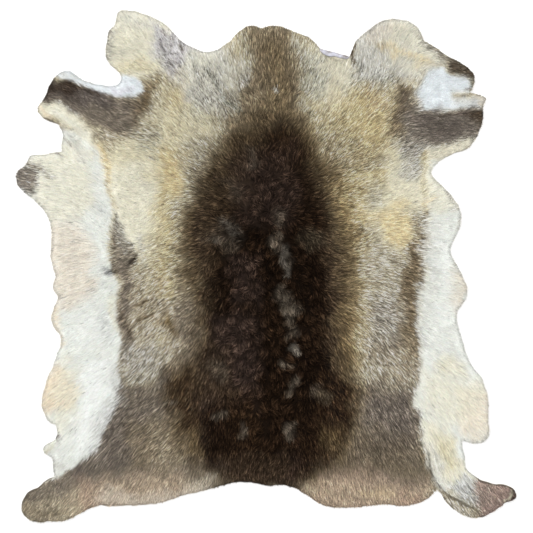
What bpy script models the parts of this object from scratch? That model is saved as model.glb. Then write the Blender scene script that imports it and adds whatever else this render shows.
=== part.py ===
"""Reindeer hide: one whole skin, tanned with the hair on and laid flat with the hair up.

The neck edge points to +Y, the rump to -Y, and the flesh side rests on z = 0. The hide is one piece, so it
is one solid: a lumpy slab as deep as the coat, deep over the dark saddle along the back and thin at the
belly and on the legs. Its rim follows the cut edge, with one small lock of hair on each short stretch.
The middle lies dead flat, the skin rises a little towards its edges, and some edges and legs curl higher.
"""

from collections import namedtuple

import bmesh
import bpy
import numpy as np
from mathutils import Vector, noise
from mathutils.geometry import delaunay_2d_cdt, interpolate_bezier

CM = 0.01
MM = 0.001

# Driving dimensions, in metres.
RIM_THICKNESS = 4 * MM      # skin and the first hair at the cut edge
LEG_PILE = 10 * MM          # skin and coat where no coat zone adds to it
FULL_COAT = 15 * MM         # how much deeper than on the legs the coat is where it takes all combed lumps
EDGE_SHOULDER = 32 * MM     # how far in from the rim the coat reaches its full depth
LOCK_PITCH = 26 * MM        # rim length of one lock of hair
LOCK_LENGTH = 4.5 * MM      # how far a long lock stands out from the rim
TOP_STEP = 23 * MM          # spacing of the coat's own points
UNDER_STEP = 75 * MM        # spacing on the underside, which is flat away from its edges
EDGE_RINGS = (9 * MM, 24 * MM)          # points that follow the rim, measured in from it
UNDER_RINGS = (24 * MM, 42 * MM)
CREASE_STEP = 15 * MM       # spacing of the points along a crease's floor and its shoulders
LEAST_FACE_EDGE = 6 * MM    # points nearer than this to another are left out
RING_NEARNESS = 0.86        # a ring's point counts if the rim is at least this share of its inset away
SAME_POINT = 0.0001 * MM    # points nearer than this are one

SMOOTH, CORNER = "AUTO", "VECTOR"       # the two kinds of turn in the cut edge
OutlinePoint = namedtuple("OutlinePoint", "x_cm y_cm turn")

# The cut edge seen from above, clockwise from the left armpit.
OUTLINE = {
    "left shoulder flap": [
        (-34.0, 44.1, SMOOTH), (-35.0, 46.0, SMOOTH), (-37.4, 48.3, SMOOTH), (-37.7, 50.2, SMOOTH),
        (-37.4, 52.8, SMOOTH), (-36.9, 55.6, CORNER), (-35.6, 56.4, SMOOTH), (-35.3, 58.4, SMOOTH),
        (-34.8, 60.0, CORNER), (-32.5, 60.0, SMOOTH), (-29.2, 59.3, SMOOTH), (-25.4, 57.7, SMOOTH),
        (-22.2, 55.1, SMOOTH), (-20.3, 53.0, SMOOTH), (-18.0, 51.6, SMOOTH), (-14.0, 50.2, SMOOTH),
    ],
    "neck edge": [
        (-11.4, 50.9, SMOOTH), (-8.4, 53.0, SMOOTH), (-6.3, 55.3, SMOOTH), (-3.2, 56.6, SMOOTH),
        (-1.3, 55.7, CORNER), (2.2, 56.5, SMOOTH), (4.5, 55.8, SMOOTH), (6.8, 54.7, SMOOTH),
        (8.7, 54.2, SMOOTH), (10.6, 53.2, SMOOTH), (12.5, 51.1, SMOOTH), (15.0, 50.4, SMOOTH),
        (17.4, 49.7, SMOOTH), (19.5, 49.0, CORNER),
    ],
    "right shoulder flap": [
        (20.2, 51.1, SMOOTH), (21.8, 53.8, SMOOTH), (24.2, 55.6, SMOOTH), (26.3, 57.2, SMOOTH),
        (28.4, 57.9, SMOOTH), (31.2, 57.8, SMOOTH), (34.2, 56.9, SMOOTH), (36.1, 54.9, SMOOTH),
        (36.8, 52.9, CORNER), (39.1, 51.7, SMOOTH), (42.4, 49.3, SMOOTH), (45.7, 47.7, SMOOTH),
        (47.8, 46.0, SMOOTH), (48.7, 44.3, SMOOTH), (48.4, 42.2, SMOOTH), (47.4, 40.6, CORNER),
    ],
    "right foreleg": [
        (49.4, 40.4, SMOOTH), (51.8, 39.4, CORNER), (50.9, 38.5, SMOOTH), (50.6, 34.3, SMOOTH),
        (49.9, 31.9, SMOOTH), (48.6, 29.4, SMOOTH), (46.9, 27.4, CORNER), (44.3, 26.7, SMOOTH),
        (41.2, 25.2, SMOOTH), (39.1, 23.5, SMOOTH), (38.4, 22.3, SMOOTH),
    ],
    "right belly": [
        (38.9, 21.1, SMOOTH), (41.9, 18.1, SMOOTH), (44.2, 15.3, SMOOTH), (45.2, 13.2, SMOOTH),
        (45.5, 11.1, SMOOTH), (44.5, 7.6, SMOOTH), (43.0, 3.6, SMOOTH), (44.8, -0.1, SMOOTH),
        (46.2, -3.2, SMOOTH), (47.0, -6.2, SMOOTH), (45.9, -8.8, SMOOTH), (44.6, -10.6, SMOOTH),
        (44.6, -13.2, SMOOTH), (45.7, -17.0, SMOOTH), (47.1, -21.4, SMOOTH), (48.7, -24.2, SMOOTH),
        (50.8, -26.4, CORNER), (50.5, -27.5, SMOOTH), (51.4, -28.8, SMOOTH), (51.8, -31.2, SMOOTH),
        (51.8, -36.6, SMOOTH), (52.1, -39.2, SMOOTH), (51.5, -40.6, SMOOTH), (49.7, -41.5, SMOOTH),
        (45.5, -40.6, CORNER),
    ],
    "right hind leg": [
        (46.0, -42.0, CORNER), (45.7, -42.7, SMOOTH), (46.6, -44.6, SMOOTH), (46.2, -46.7, SMOOTH),
        (47.6, -48.3, SMOOTH), (50.1, -50.1, SMOOTH), (53.4, -51.1, SMOOTH), (57.2, -51.6, SMOOTH),
        (58.4, -53.2, SMOOTH), (58.3, -54.5, SMOOTH), (56.0, -55.3, CORNER), (54.1, -56.9, SMOOTH),
        (52.0, -58.1, SMOOTH), (49.4, -58.9, SMOOTH), (46.9, -58.5, SMOOTH), (44.3, -57.2, SMOOTH),
        (42.2, -55.3, SMOOTH), (41.0, -53.2, SMOOTH), (40.1, -51.8, CORNER),
    ],
    "rump edge": [
        (39.1, -53.2, SMOOTH), (37.3, -54.8, SMOOTH), (34.5, -55.8, CORNER), (31.9, -56.2, SMOOTH),
        (27.7, -55.8, SMOOTH), (23.2, -56.2, SMOOTH), (17.1, -56.6, SMOOTH), (12.7, -55.8, SMOOTH),
        (9.7, -53.8, SMOOTH), (7.1, -52.1, SMOOTH), (4.0, -51.2, SMOOTH), (1.9, -51.2, SMOOTH),
        (0.8, -51.6, CORNER), (-1.8, -51.0, SMOOTH), (-6.3, -50.5, SMOOTH), (-10.9, -51.5, SMOOTH),
        (-15.6, -52.8, SMOOTH), (-19.8, -53.7, SMOOTH), (-23.1, -54.9, SMOOTH), (-27.3, -55.7, SMOOTH),
        (-32.5, -56.0, SMOOTH), (-38.1, -56.3, CORNER), (-38.6, -55.8, CORNER),
    ],
    "left hind leg": [
        (-41.4, -56.7, SMOOTH), (-44.6, -58.4, SMOOTH), (-48.4, -59.8, SMOOTH), (-51.4, -59.7, SMOOTH),
        (-54.0, -60.0, SMOOTH), (-56.8, -58.6, SMOOTH), (-57.5, -56.3, SMOOTH), (-56.8, -54.2, SMOOTH),
        (-55.4, -52.5, SMOOTH), (-53.5, -51.9, SMOOTH), (-51.9, -50.2, SMOOTH), (-49.5, -49.4, CORNER),
    ],
    "left belly": [
        (-50.1, -47.2, SMOOTH), (-50.0, -44.8, CORNER), (-51.4, -44.2, SMOOTH), (-52.5, -43.1, SMOOTH),
        (-51.7, -41.7, SMOOTH), (-49.5, -40.7, SMOOTH), (-48.8, -39.7, SMOOTH), (-49.3, -38.0, CORNER),
        (-49.1, -37.1, CORNER), (-51.0, -36.6, SMOOTH), (-52.1, -34.5, SMOOTH), (-52.7, -31.2, SMOOTH),
        (-51.9, -28.4, SMOOTH), (-51.3, -25.6, SMOOTH), (-50.1, -23.8, SMOOTH), (-49.3, -20.9, SMOOTH),
        (-48.3, -18.8, SMOOTH), (-48.4, -16.0, SMOOTH), (-50.4, -13.2, SMOOTH), (-50.1, -10.6, SMOOTH),
        (-49.3, -8.3, SMOOTH), (-48.6, -7.1, CORNER), (-50.3, -4.9, SMOOTH), (-49.4, -2.5, SMOOTH),
        (-50.5, 1.1, SMOOTH), (-50.4, 6.2, SMOOTH), (-50.7, 10.2, SMOOTH), (-52.6, 13.7, SMOOTH),
        (-55.2, 16.3, SMOOTH), (-57.5, 17.9, SMOOTH), (-58.7, 20.7, SMOOTH), (-58.2, 22.6, SMOOTH),
        (-56.6, 23.4, SMOOTH), (-55.6, 26.2, CORNER), (-51.9, 26.2, SMOOTH), (-49.1, 26.8, SMOOTH),
        (-47.9, 26.8, CORNER),
    ],
    "left foreleg": [
        (-48.1, 28.9, SMOOTH), (-47.7, 30.5, SMOOTH), (-48.8, 33.4, SMOOTH), (-51.4, 34.2, SMOOTH),
        (-53.1, 35.5, SMOOTH), (-53.8, 37.3, SMOOTH), (-52.6, 38.7, SMOOTH), (-51.4, 40.8, SMOOTH),
        (-50.5, 43.2, SMOOTH), (-49.1, 45.0, SMOOTH), (-47.2, 45.9, SMOOTH), (-45.6, 45.5, SMOOTH),
        (-43.7, 44.0, SMOOTH), (-40.2, 42.8, SMOOTH), (-37.4, 42.3, SMOOTH), (-35.0, 42.6, SMOOTH),
    ],
}

# Where the coat is deeper than on the legs: an oval swell for each zone.
CoatZone = namedtuple("CoatZone", "name x_cm y_cm half_width_cm half_length_cm depth_mm")
COAT_ZONES = [
    CoatZone("body", 0, -4, 38, 52, 6),
    CoatZone("saddle", 0, -8, 15, 42, 11),
    CoatZone("spine", 2, -16, 7, 30, 4),
    CoatZone("neck", 0, 44, 17, 13, 6),
    CoatZone("left haunch", -27, -40, 15, 14, 3),
    CoatZone("right haunch", 25, -40, 15, 14, 3),
    CoatZone("left shoulder", -22, 30, 12, 14, 3),
    CoatZone("right shoulder", 22, 30, 12, 14, 3),
    CoatZone("left chest flap", -30, 52, 7, 7, 3),
    CoatZone("right chest flap", 30, 52, 7, 6, 3),
]

# Tufts and hollows in the coat. The broad ones lie all over, the combed ones only where the coat is deep.
Lump = namedtuple("Lump", "name across_cm along_cm height_mm")
BROAD_LUMPS = Lump("broad", 9.0, 11.0, 2.0)
COMBED_LUMPS = Lump("combed", 3.6, 6.5, 3.2)

# Creases in the coat, each a trough along a line. A depth below zero is a ridge.
Crease = namedtuple("Crease", "name line_cm half_width_cm depth_mm")
CREASES = [
    Crease("left belly line, front", [(-39.0, 29.1), (-37.1, 23.8), (-36.2, 17.9), (-35.3, 13.2)], 1.3, 3.5),
    Crease("left belly line, mid", [(-35.3, 13.2), (-36.0, 6.2), (-35.6, -2.0), (-35.0, -10.6)], 1.5, 3.0),
    Crease("left belly line, rear", [(-35.0, -10.6), (-34.6, -18.4), (-36.5, -32.0)], 1.4, 2.5),
    Crease("left flank parting", [(-35.3, 12.8), (-33.4, 8.2), (-30.8, 3.5), (-30.0, 0.0)], 1.0, 2.5),
    Crease("left flank swirl", [(-30.0, 0.0), (-34.0, -0.8), (-38.5, -1.4)], 0.9, 3.0),
    Crease("right belly line, front", [(37.9, 26.1), (36.6, 21.4), (37.0, 15.6), (36.6, 9.7)], 1.3, 3.5),
    Crease("right belly line, mid", [(36.6, 9.7), (35.4, 3.9), (34.5, -4.3), (34.0, -12.5)], 1.5, 3.0),
    Crease("right belly line, rear", [(34.0, -12.5), (35.4, -20.0), (35.8, -29.0), (36.6, -39.0)], 1.4, 2.5),
    Crease("right hind leg slit", [(37.8, -40.0), (37.9, -44.5), (38.7, -48.3), (40.1, -51.8)], 0.8, 6.0),
    Crease("right hind leg fold", [(40.6, -52.1), (45.7, -54.9), (48.5, -56.0), (50.4, -58.4)], 0.8, 4.0),
    Crease("right hind foot fold", [(55.9, -55.0), (57.0, -53.9), (57.6, -52.2)], 0.6, 3.0),
    Crease("right shoulder fold", [(19.5, 49.0), (20.3, 44.8), (19.7, 40.1), (17.2, 37.1)], 1.1, 3.5),
    Crease("right shoulder roll", [(25.0, 53.5), (28.0, 50.8), (32.0, 49.3), (37.0, 48.5)], 1.6, -3.5),
    Crease("right foreleg slit", [(47.4, 40.6), (45.6, 39.8), (43.8, 39.5)], 0.7, 4.0),
    Crease("right flap nick", [(48.3, 42.2), (46.9, 41.6), (45.4, 41.7)], 0.6, 3.0),
    Crease("right foreleg edge", [(42.0, 36.2), (46.5, 35.6), (50.4, 36.4)], 0.9, 2.5),
    Crease("left shoulder fold", [(-20.0, 52.0), (-16.5, 47.0), (-14.0, 42.5), (-13.0, 38.0)], 1.2, 3.0),
    Crease("left elbow fold", [(-24.0, 49.0), (-28.5, 44.0), (-27.0, 38.0)], 1.3, 2.0),
    Crease("left foreleg edge", [(-52.0, 38.0), (-46.5, 37.2), (-41.5, 34.0)], 0.9, 2.5),
    Crease("left belly nick", [(-49.2, -37.6), (-47.2, -36.6)], 0.6, 2.5),
]

# Where the skin curls or arches off the floor.
Lift = namedtuple("Lift", "name line_cm half_width_cm height_mm")
LIFTS = [
    Lift("left foreleg arch", [(-50.5, 41.0), (-44.0, 39.6), (-38.5, 38.0)], 4.0, 9.0),
    Lift("left foreleg cuff", [(-53.4, 37.2), (-51.0, 35.0)], 2.6, 5.0),
    Lift("right foreleg arch", [(50.0, 35.0), (44.5, 34.5), (40.0, 34.0)], 4.2, 8.0),
    Lift("right foreleg tip", [(51.6, 39.4), (48.8, 39.2)], 2.6, 8.0),
    Lift("right hind leg arch", [(47.5, -53.0), (52.5, -54.0), (56.5, -53.2)], 3.8, 9.0),
    Lift("right hind foot curl", [(58.4, -53.6), (57.6, -54.4)], 2.4, 7.0),
    Lift("left hind leg arch", [(-55.0, -56.5), (-49.0, -55.5)], 4.5, 5.0),
    Lift("left chest curl", [(-58.6, 20.6), (-56.5, 23.4)], 3.6, 8.0),
    Lift("left belly wave 1", [(-50.6, 2.5), (-50.6, 8.0)], 2.8, 5.0),
    Lift("left belly wave 2", [(-50.3, -10.0), (-50.4, -13.2)], 2.6, 6.0),
    Lift("left belly wave 3", [(-52.6, -29.0), (-52.6, -33.5)], 3.0, 6.0),
    Lift("left belly tab", [(-52.4, -43.1), (-50.6, -42.8)], 2.4, 5.0),
    Lift("right belly wave 1", [(45.3, 13.5), (45.4, 9.5)], 3.0, 6.0),
    Lift("right belly wave 2", [(46.9, -4.5), (46.8, -7.4)], 2.8, 6.0),
    Lift("right belly corner", [(51.9, -31.5), (52.0, -39.5)], 3.0, 6.0),
    Lift("left flap curl", [(-37.5, 49.0), (-37.2, 55.0)], 3.0, 7.0),
    Lift("right flap curl", [(27.5, 57.6), (34.5, 56.6)], 3.2, 7.0),
    Lift("right flap point", [(48.6, 45.0), (48.3, 42.5)], 2.6, 6.0),
    Lift("neck wave", [(1.0, 56.4), (8.5, 54.4)], 3.0, 4.0),
]

# The middle of the hide lies dead flat on a four-cornered area, and from its sides outwards the skin rises.
RestArea = namedtuple("RestArea", "left_cm right_cm rear_cm front_cm")
REST_AREA = RestArea(-34, 35, -47, 40)
RISE_PER_METRE = 14 * MM

COAT_COLOUR = (0.20, 0.155, 0.105, 1.0)
COAT_ROUGHNESS = 0.85


def clear_scene():
    """Remove whatever objects the file opened with."""
    for item in list(bpy.data.objects):
        bpy.data.objects.remove(item)


# The rim ------------------------------------------------------------------------------------------------

def cut_edge_curve():
    """The cut edge as a closed flat Bezier curve, whose smooth points have automatic handles."""
    rows = [OutlinePoint(*row) for section in OUTLINE.values() for row in section]
    curve = bpy.data.curves.new("cut_edge", "CURVE")
    spline = curve.splines.new("BEZIER")
    spline.bezier_points.add(len(rows) - 1)
    spline.use_cyclic_u = True
    for point, row in zip(spline.bezier_points, rows):
        point.co = (row.x_cm * CM, row.y_cm * CM, 0)
        point.handle_left_type = point.handle_right_type = row.turn
    guide = bpy.data.objects.new("cut_edge", curve)
    bpy.context.scene.collection.objects.link(guide)
    bpy.context.view_layer.update()
    return guide


def rim_with_locks(guide):
    """Points along the cut edge, anticlockwise. Every second one is pushed out, as the tip of a lock."""
    points = guide.data.splines[0].bezier_points
    rim = []
    for here, after in zip(points, list(points[1:]) + [points[0]]):
        locks = max(1, round((after.co - here.co).length / LOCK_PITCH))
        steps = 2 * locks + 1
        arc = interpolate_bezier(here.co, here.handle_right, after.handle_left, after.co, steps)
        rim += [Vector(p[:2]) for p in arc[:-1]]
    tipped = []
    for i, p in enumerate(rim):
        along = rim[(i + 1) % len(rim)] - rim[i - 1]
        outward = Vector((-along.y, along.x)).normalized()      # the tables run clockwise
        liveliness = 0.5 + 0.5 * noise.noise(Vector((p.x, p.y, 0)) / (2 * CM))
        tipped.append(p + outward * LOCK_LENGTH * liveliness * (i % 2))
    return np.array(tipped)[::-1]


# Distances and swells -----------------------------------------------------------------------------------

def distance_to_line(points, line, closed=False):
    """Distance from each point to the nearest place on a line of straight stretches."""
    ends = np.roll(line, -1, axis=0) if closed else line[1:]
    starts = line if closed else line[:-1]
    nearest = np.full(len(points), np.inf)
    for start, end in zip(starts, ends):
        way = end - start
        share = np.clip((points - start) @ way / max(way @ way, 1e-12), 0, 1)
        nearest = np.minimum(nearest, np.linalg.norm(points - start - share[:, None] * way, axis=1))
    return nearest


def inside_rim(points, rim):
    """Whether each point lies within the rim: a ray to +X crosses it an odd number of times."""
    x, y = points[:, :1], points[:, 1:]
    ahead = np.roll(rim, -1, axis=0)
    spans = (rim[:, 1] > y) != (ahead[:, 1] > y)
    rise = np.where(ahead[:, 1] == rim[:, 1], 1.0, ahead[:, 1] - rim[:, 1])
    crossing = rim[:, 0] + (y - rim[:, 1]) * (ahead[:, 0] - rim[:, 0]) / rise
    return (spans & (x < crossing)).sum(axis=1) % 2 == 1


def rest_corners():
    """The corners of the area on which the hide rests."""
    sides, ends = (REST_AREA.left_cm, REST_AREA.right_cm), (REST_AREA.rear_cm, REST_AREA.front_cm)
    return np.array([(x, y) for x in sides for y in ends]) * CM


def floor_height(points):
    """Height of the flesh side: zero where it lies flat, an even rise around that, and the curls."""
    corners = rest_corners()
    beyond = np.maximum(np.maximum(corners.min(axis=0) - points, points - corners.max(axis=0)), 0)
    height = np.linalg.norm(beyond, axis=1) * RISE_PER_METRE
    for lift in LIFTS:
        away = distance_to_line(points, np.array(lift.line_cm) * CM) / (lift.half_width_cm * CM)
        rise = lift.height_mm * MM * np.cos(np.clip(away, 0, 1) * np.pi / 2) ** 2
        height = np.maximum(height, rise)
    return height


def coat_depth(points, rim):
    """Thickness of skin and coat: zones, lumps and creases, rounded down to the rim as on a cushion."""
    depth = np.full(len(points), LEG_PILE)
    for zone in COAT_ZONES:
        across = (points[:, 0] - zone.x_cm * CM) / (zone.half_width_cm * CM)
        along = (points[:, 1] - zone.y_cm * CM) / (zone.half_length_cm * CM)
        depth += zone.depth_mm * MM * np.exp(-(across ** 2 + along ** 2) ** 2)
    fullness = np.clip((depth - LEG_PILE) / FULL_COAT, 0, 1)
    depth += lump_height(points, BROAD_LUMPS) + fullness * lump_height(points, COMBED_LUMPS)
    depth -= crease_depth(points)
    inward = np.clip(distance_to_line(points, rim, closed=True) / EDGE_SHOULDER, 0, 1)
    rounding = np.sqrt(1 - (1 - inward) ** 2)
    return RIM_THICKNESS + rounding * np.maximum(depth - RIM_THICKNESS, 0)


def crease_depth(points):
    """Depth of the deepest crease at each point, a Gaussian trough about the crease's line."""
    deepest = np.zeros(len(points))
    for crease in CREASES:
        away = distance_to_line(points, np.array(crease.line_cm) * CM) / (crease.half_width_cm * CM)
        depth = crease.depth_mm * MM * np.exp(-away ** 2)
        deepest = np.where(np.abs(depth) > np.abs(deepest), depth, deepest)
    return deepest


def lump_height(points, lump):
    """Soft bumps, longer along the body than across it."""
    return np.array([
        lump.height_mm * MM * noise.noise(Vector((x / lump.across_cm, y / lump.along_cm, 0)) / CM)
        for x, y in points
    ])


# The solid ----------------------------------------------------------------------------------------------

def ring_points(rim, inset):
    """Points that follow the rim at a distance in from it, less those that another stretch is nearer to."""
    along = np.roll(rim, -1, axis=0) - np.roll(rim, 1, axis=0)
    inward = np.stack([-along[:, 1], along[:, 0]], axis=1)
    inward /= np.linalg.norm(inward, axis=1, keepdims=True)
    ring = (rim + inset * inward)[::1 if inset < EDGE_SHOULDER / 2 else 2]
    clear = distance_to_line(ring, rim, closed=True) > RING_NEARNESS * inset
    return ring[clear & inside_rim(ring, rim)]


def field_points(rim, step, margin):
    """A field of points in offset rows, as in a honeycomb, that stays a margin inside the rim."""
    low, high = rim.min(axis=0), rim.max(axis=0)
    row_step = step * np.sqrt(3) / 2
    rows = []
    for number, y in enumerate(np.arange(low[1], high[1], row_step)):
        x = np.arange(low[0] + (number % 2) * step / 2, high[0], step)
        rows.append(np.stack([x, np.full(len(x), y)], axis=1))
    field = np.concatenate(rows)
    field = field[inside_rim(field, rim)]
    return field[distance_to_line(field, rim, closed=True) > margin]


def crease_points(rim):
    """Points along the floor of each crease and along both its shoulders, where they lie within the rim."""
    rows = []
    for crease in CREASES:
        line = np.array(crease.line_cm) * CM
        for start, end in zip(line[:-1], line[1:]):
            way = end - start
            length = np.linalg.norm(way)
            share = np.linspace(0, 1, max(1, round(length / CREASE_STEP)) + 1)[:, None]
            shoulder = np.array([-way[1], way[0]]) / length * crease.half_width_cm * CM
            rows += [start + share * way + side * shoulder for side in (0, -1, 1)]
    points = np.concatenate(rows)
    points = points[inside_rim(points, rim)]
    return points[distance_to_line(points, rim, closed=True) > LEAST_FACE_EDGE]


def spaced_out(points, kept, least):
    """The points that are at least that far from those already kept and from each other."""
    chosen = list(kept)
    for point in points:
        gaps = np.linalg.norm(np.array(chosen) - point, axis=1)
        if gaps.min() >= least:
            chosen.append(point)
    return np.array(chosen)


def plan(rim, rings, features, step):
    """Triangles that fill the rim, over rings of points near it, its features and a field between them."""
    points = rim
    for inset in rings:
        points = spaced_out(ring_points(rim, inset), points, LEAST_FACE_EDGE)
    points = spaced_out(features, points, LEAST_FACE_EDGE)
    points = spaced_out(field_points(rim, step, rings[-1] + step / 3), points, step / 2)
    around = [(i, (i + 1) % len(rim)) for i in range(len(rim))]
    inside_only = 1
    filled = delaunay_2d_cdt([Vector(p) for p in points], around, [], inside_only, SAME_POINT)
    return np.array([tuple(p) for p in filled[0]]), [tuple(face) for face in filled[2]]


def hide_mesh(rim):
    """One closed body: the coat's surface, the flesh side, and the wall between them round the rim."""
    top, top_faces = plan(rim, EDGE_RINGS, crease_points(rim), TOP_STEP)
    under, under_faces = plan(rim, UNDER_RINGS, rest_corners(), UNDER_STEP)
    top_height = floor_height(top) + coat_depth(top, rim)
    body = bmesh.new()
    top_verts = [body.verts.new((x, y, z)) for (x, y), z in zip(top, top_height)]
    under_verts = [body.verts.new((x, y, z)) for (x, y), z in zip(under, floor_height(under))]
    for face in top_faces:
        body.faces.new([top_verts[i] for i in face])
    for face in under_faces:
        body.faces.new([under_verts[i] for i in reversed(face)])
    for here in range(len(rim)):
        ahead = (here + 1) % len(rim)
        body.faces.new([top_verts[ahead], top_verts[here], under_verts[here], under_verts[ahead]])
    bmesh.ops.triangulate(body, faces=[f for f in body.faces if len(f.verts) > 3])
    bmesh.ops.recalc_face_normals(body, faces=body.faces)
    mesh = bpy.data.meshes.new("hide")
    body.to_mesh(mesh)
    body.free()
    mesh.shade_smooth()
    return mesh


def coat_material():
    """Hair of the mean colour of the back, flanks and belly."""
    material = bpy.data.materials.new("coat")
    material.use_nodes = True
    surface = material.node_tree.nodes["Principled BSDF"]
    surface.inputs["Base Color"].default_value = COAT_COLOUR
    surface.inputs["Roughness"].default_value = COAT_ROUGHNESS
    surface.inputs["Metallic"].default_value = 0.0
    return material


def main():
    clear_scene()
    guide = cut_edge_curve()
    rim = rim_with_locks(guide)
    bpy.data.objects.remove(guide)
    rim -= (rim.min(axis=0) + rim.max(axis=0)) / 2      # the origin is the middle of the hide's box
    hide = bpy.data.objects.new("hide", hide_mesh(rim))
    hide.data.materials.append(coat_material())
    collection = bpy.data.collections.new("reindeer_hide")
    bpy.context.scene.collection.children.link(collection)
    collection.objects.link(hide)


main()
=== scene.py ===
"""Reindeer hide, dressed: tanned skin, woolly undercoat and combed hair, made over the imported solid."""

from collections import namedtuple

import bmesh
import bpy
import numpy as np
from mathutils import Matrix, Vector
from mathutils.geometry import delaunay_2d_cdt


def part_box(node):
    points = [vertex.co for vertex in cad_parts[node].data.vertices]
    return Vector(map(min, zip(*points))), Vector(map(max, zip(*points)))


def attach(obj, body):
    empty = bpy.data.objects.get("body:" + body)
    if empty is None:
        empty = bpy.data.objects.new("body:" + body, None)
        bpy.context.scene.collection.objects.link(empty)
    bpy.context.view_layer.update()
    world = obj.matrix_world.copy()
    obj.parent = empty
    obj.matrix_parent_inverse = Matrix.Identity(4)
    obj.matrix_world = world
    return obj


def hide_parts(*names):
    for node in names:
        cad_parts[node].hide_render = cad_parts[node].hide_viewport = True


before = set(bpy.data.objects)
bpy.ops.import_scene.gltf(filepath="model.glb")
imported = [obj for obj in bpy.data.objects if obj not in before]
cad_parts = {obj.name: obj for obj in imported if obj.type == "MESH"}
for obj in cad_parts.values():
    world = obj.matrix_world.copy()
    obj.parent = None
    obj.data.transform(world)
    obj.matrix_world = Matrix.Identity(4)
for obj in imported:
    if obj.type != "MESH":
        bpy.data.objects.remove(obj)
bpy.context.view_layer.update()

# The skin ------------------------------------------------------------------------------------------------
# One whole pelt, tanned to soft cream leather a little under 2 mm thick, its flesh side buffed like suede.
# It was cut round with a knife, lies flat under the body, and lifts where belly edges, flaps and legs curl.

CM = 0.01
MM = 0.001
SKIN_THICKNESS = 1.8 * MM
SKIN_INSET = 1 * MM             # the knife's cut lies this far inside the mean line of the hair's rim
CUT_STEP = 3 * MM               # spacing of the points along the cut
CUT_ROUNDINGS = 6               # how often the cut's corners are rounded
SKIN_STEP = 10 * MM             # spacing of the skin's own points
CUT_MARGIN = 0.6                # share of a step by which they keep clear of the cut
PUCKER_HEIGHT = 0.5 * MM        # slack in the leather between where it was stretched and pegged
PUCKER_GRAIN = 3 * CM
CREAM_SUEDE = (0.70, 0.62, 0.49)
GREY_SUEDE = (0.52, 0.46, 0.38)
SUEDE_CLOUDS = 9                # clouds in a metre of it
NAP_GRAINS = 900                # grains of its nap in a metre
NAP_HEIGHT = 0.4 * MM

# Heights and distances are read off the solid on a level net of knots.
MAP_STEP = 4 * MM
MAP_MARGIN = 24 * MM
MAP_START = 0.2                 # how far above or below the floor the knots set out
LAST_CELL = 1.001               # keeps places inside its last cell
UPRIGHT = 0.02                  # the normal of an upright face rises less than this
SOLID_MERGE = 0.01 * MM         # corners of the solid nearer than this are one
SHEET_MERGE = 0.001 * MM        # and points of a sheet nearer than this
NOISE_KNOTS = 256               # a smooth noise repeats after so many knots

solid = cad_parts["hide"]
low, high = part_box("hide")
map_x = np.arange(low.x - MAP_MARGIN, high.x + MAP_MARGIN, MAP_STEP)
map_y = np.arange(low.y - MAP_MARGIN, high.y + MAP_MARGIN, MAP_STEP)
knots = np.stack(np.meshgrid(map_x, map_y), axis=2).reshape(-1, 2)


def height_map(solid, start):
    """Height of the solid over the level net: each knot goes along Z from a start height to its surface.
    Knots beside the solid take the mean of their known neighbours, ring by ring outwards."""
    net = bpy.data.meshes.new("net")
    net.vertices.add(len(knots))
    net.vertices.foreach_set("co", np.column_stack([knots, np.full(len(knots), start)]).ravel())
    holder = bpy.data.objects.new("net", net)
    bpy.context.scene.collection.objects.link(holder)
    drop = holder.modifiers.new("drop", "SHRINKWRAP")
    drop.target = solid
    drop.wrap_method = "PROJECT"
    drop.use_project_z = True
    drop.use_negative_direction = start > 0
    drop.use_positive_direction = start < 0
    dropped = holder.evaluated_get(bpy.context.evaluated_depsgraph_get()).to_mesh()
    place = np.empty(3 * len(knots))
    dropped.vertices.foreach_get("co", place)
    bpy.data.objects.remove(holder)
    field = place[2::3].reshape(len(map_y), len(map_x))
    known = np.abs(field - start) > MM
    field = np.where(known, field, 0.0)
    for _ in range(int(MAP_MARGIN / MAP_STEP)):
        total, count = np.zeros_like(field), np.zeros_like(field)
        for axis, shift in ((0, 1), (0, -1), (1, 1), (1, -1)):
            total += np.roll(np.where(known, field, 0.0), shift, axis=axis)
            count += np.roll(known, shift, axis=axis)
        spread = ~known & (count > 0)
        field = np.where(spread, total / np.maximum(count, 1), field)
        known = known | spread
    return field


def read_map(field, points):
    """The field's value at each point: its four nearest knots, weighed by nearness."""
    across = np.clip((points[:, 0] - map_x[0]) / MAP_STEP, 0, len(map_x) - LAST_CELL)
    along = np.clip((points[:, 1] - map_y[0]) / MAP_STEP, 0, len(map_y) - LAST_CELL)
    i, j = across.astype(int), along.astype(int)
    u, v = across - i, along - j
    near = field[j, i] * (1 - u) + field[j, i + 1] * u
    far = field[j + 1, i] * (1 - u) + field[j + 1, i + 1] * u
    return near * (1 - v) + far * v


def rim_corners(solid):
    """The solid's upper rim in order: the edges where an upright face meets a face that looks up."""
    shape = bmesh.new()
    shape.from_mesh(solid.data)
    bmesh.ops.remove_doubles(shape, verts=shape.verts, dist=SOLID_MERGE)
    neighbours = {}
    for edge in shape.edges:
        slopes = sorted(face.normal.z for face in edge.link_faces)
        if abs(slopes[0]) < UPRIGHT < slopes[-1]:
            for here, there in (edge.verts, reversed(edge.verts)):
                neighbours.setdefault(here.index, []).append(there.index)
    shape.verts.ensure_lookup_table()
    places = {index: tuple(shape.verts[index].co[:2]) for index in neighbours}
    shape.free()
    first = min(neighbours)
    chain = [first, neighbours[first][0]]
    while chain[-1] != first:
        chain.append(next(n for n in neighbours[chain[-1]] if n != chain[-2]))
    return np.array([places[index] for index in chain[:-1]])


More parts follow.
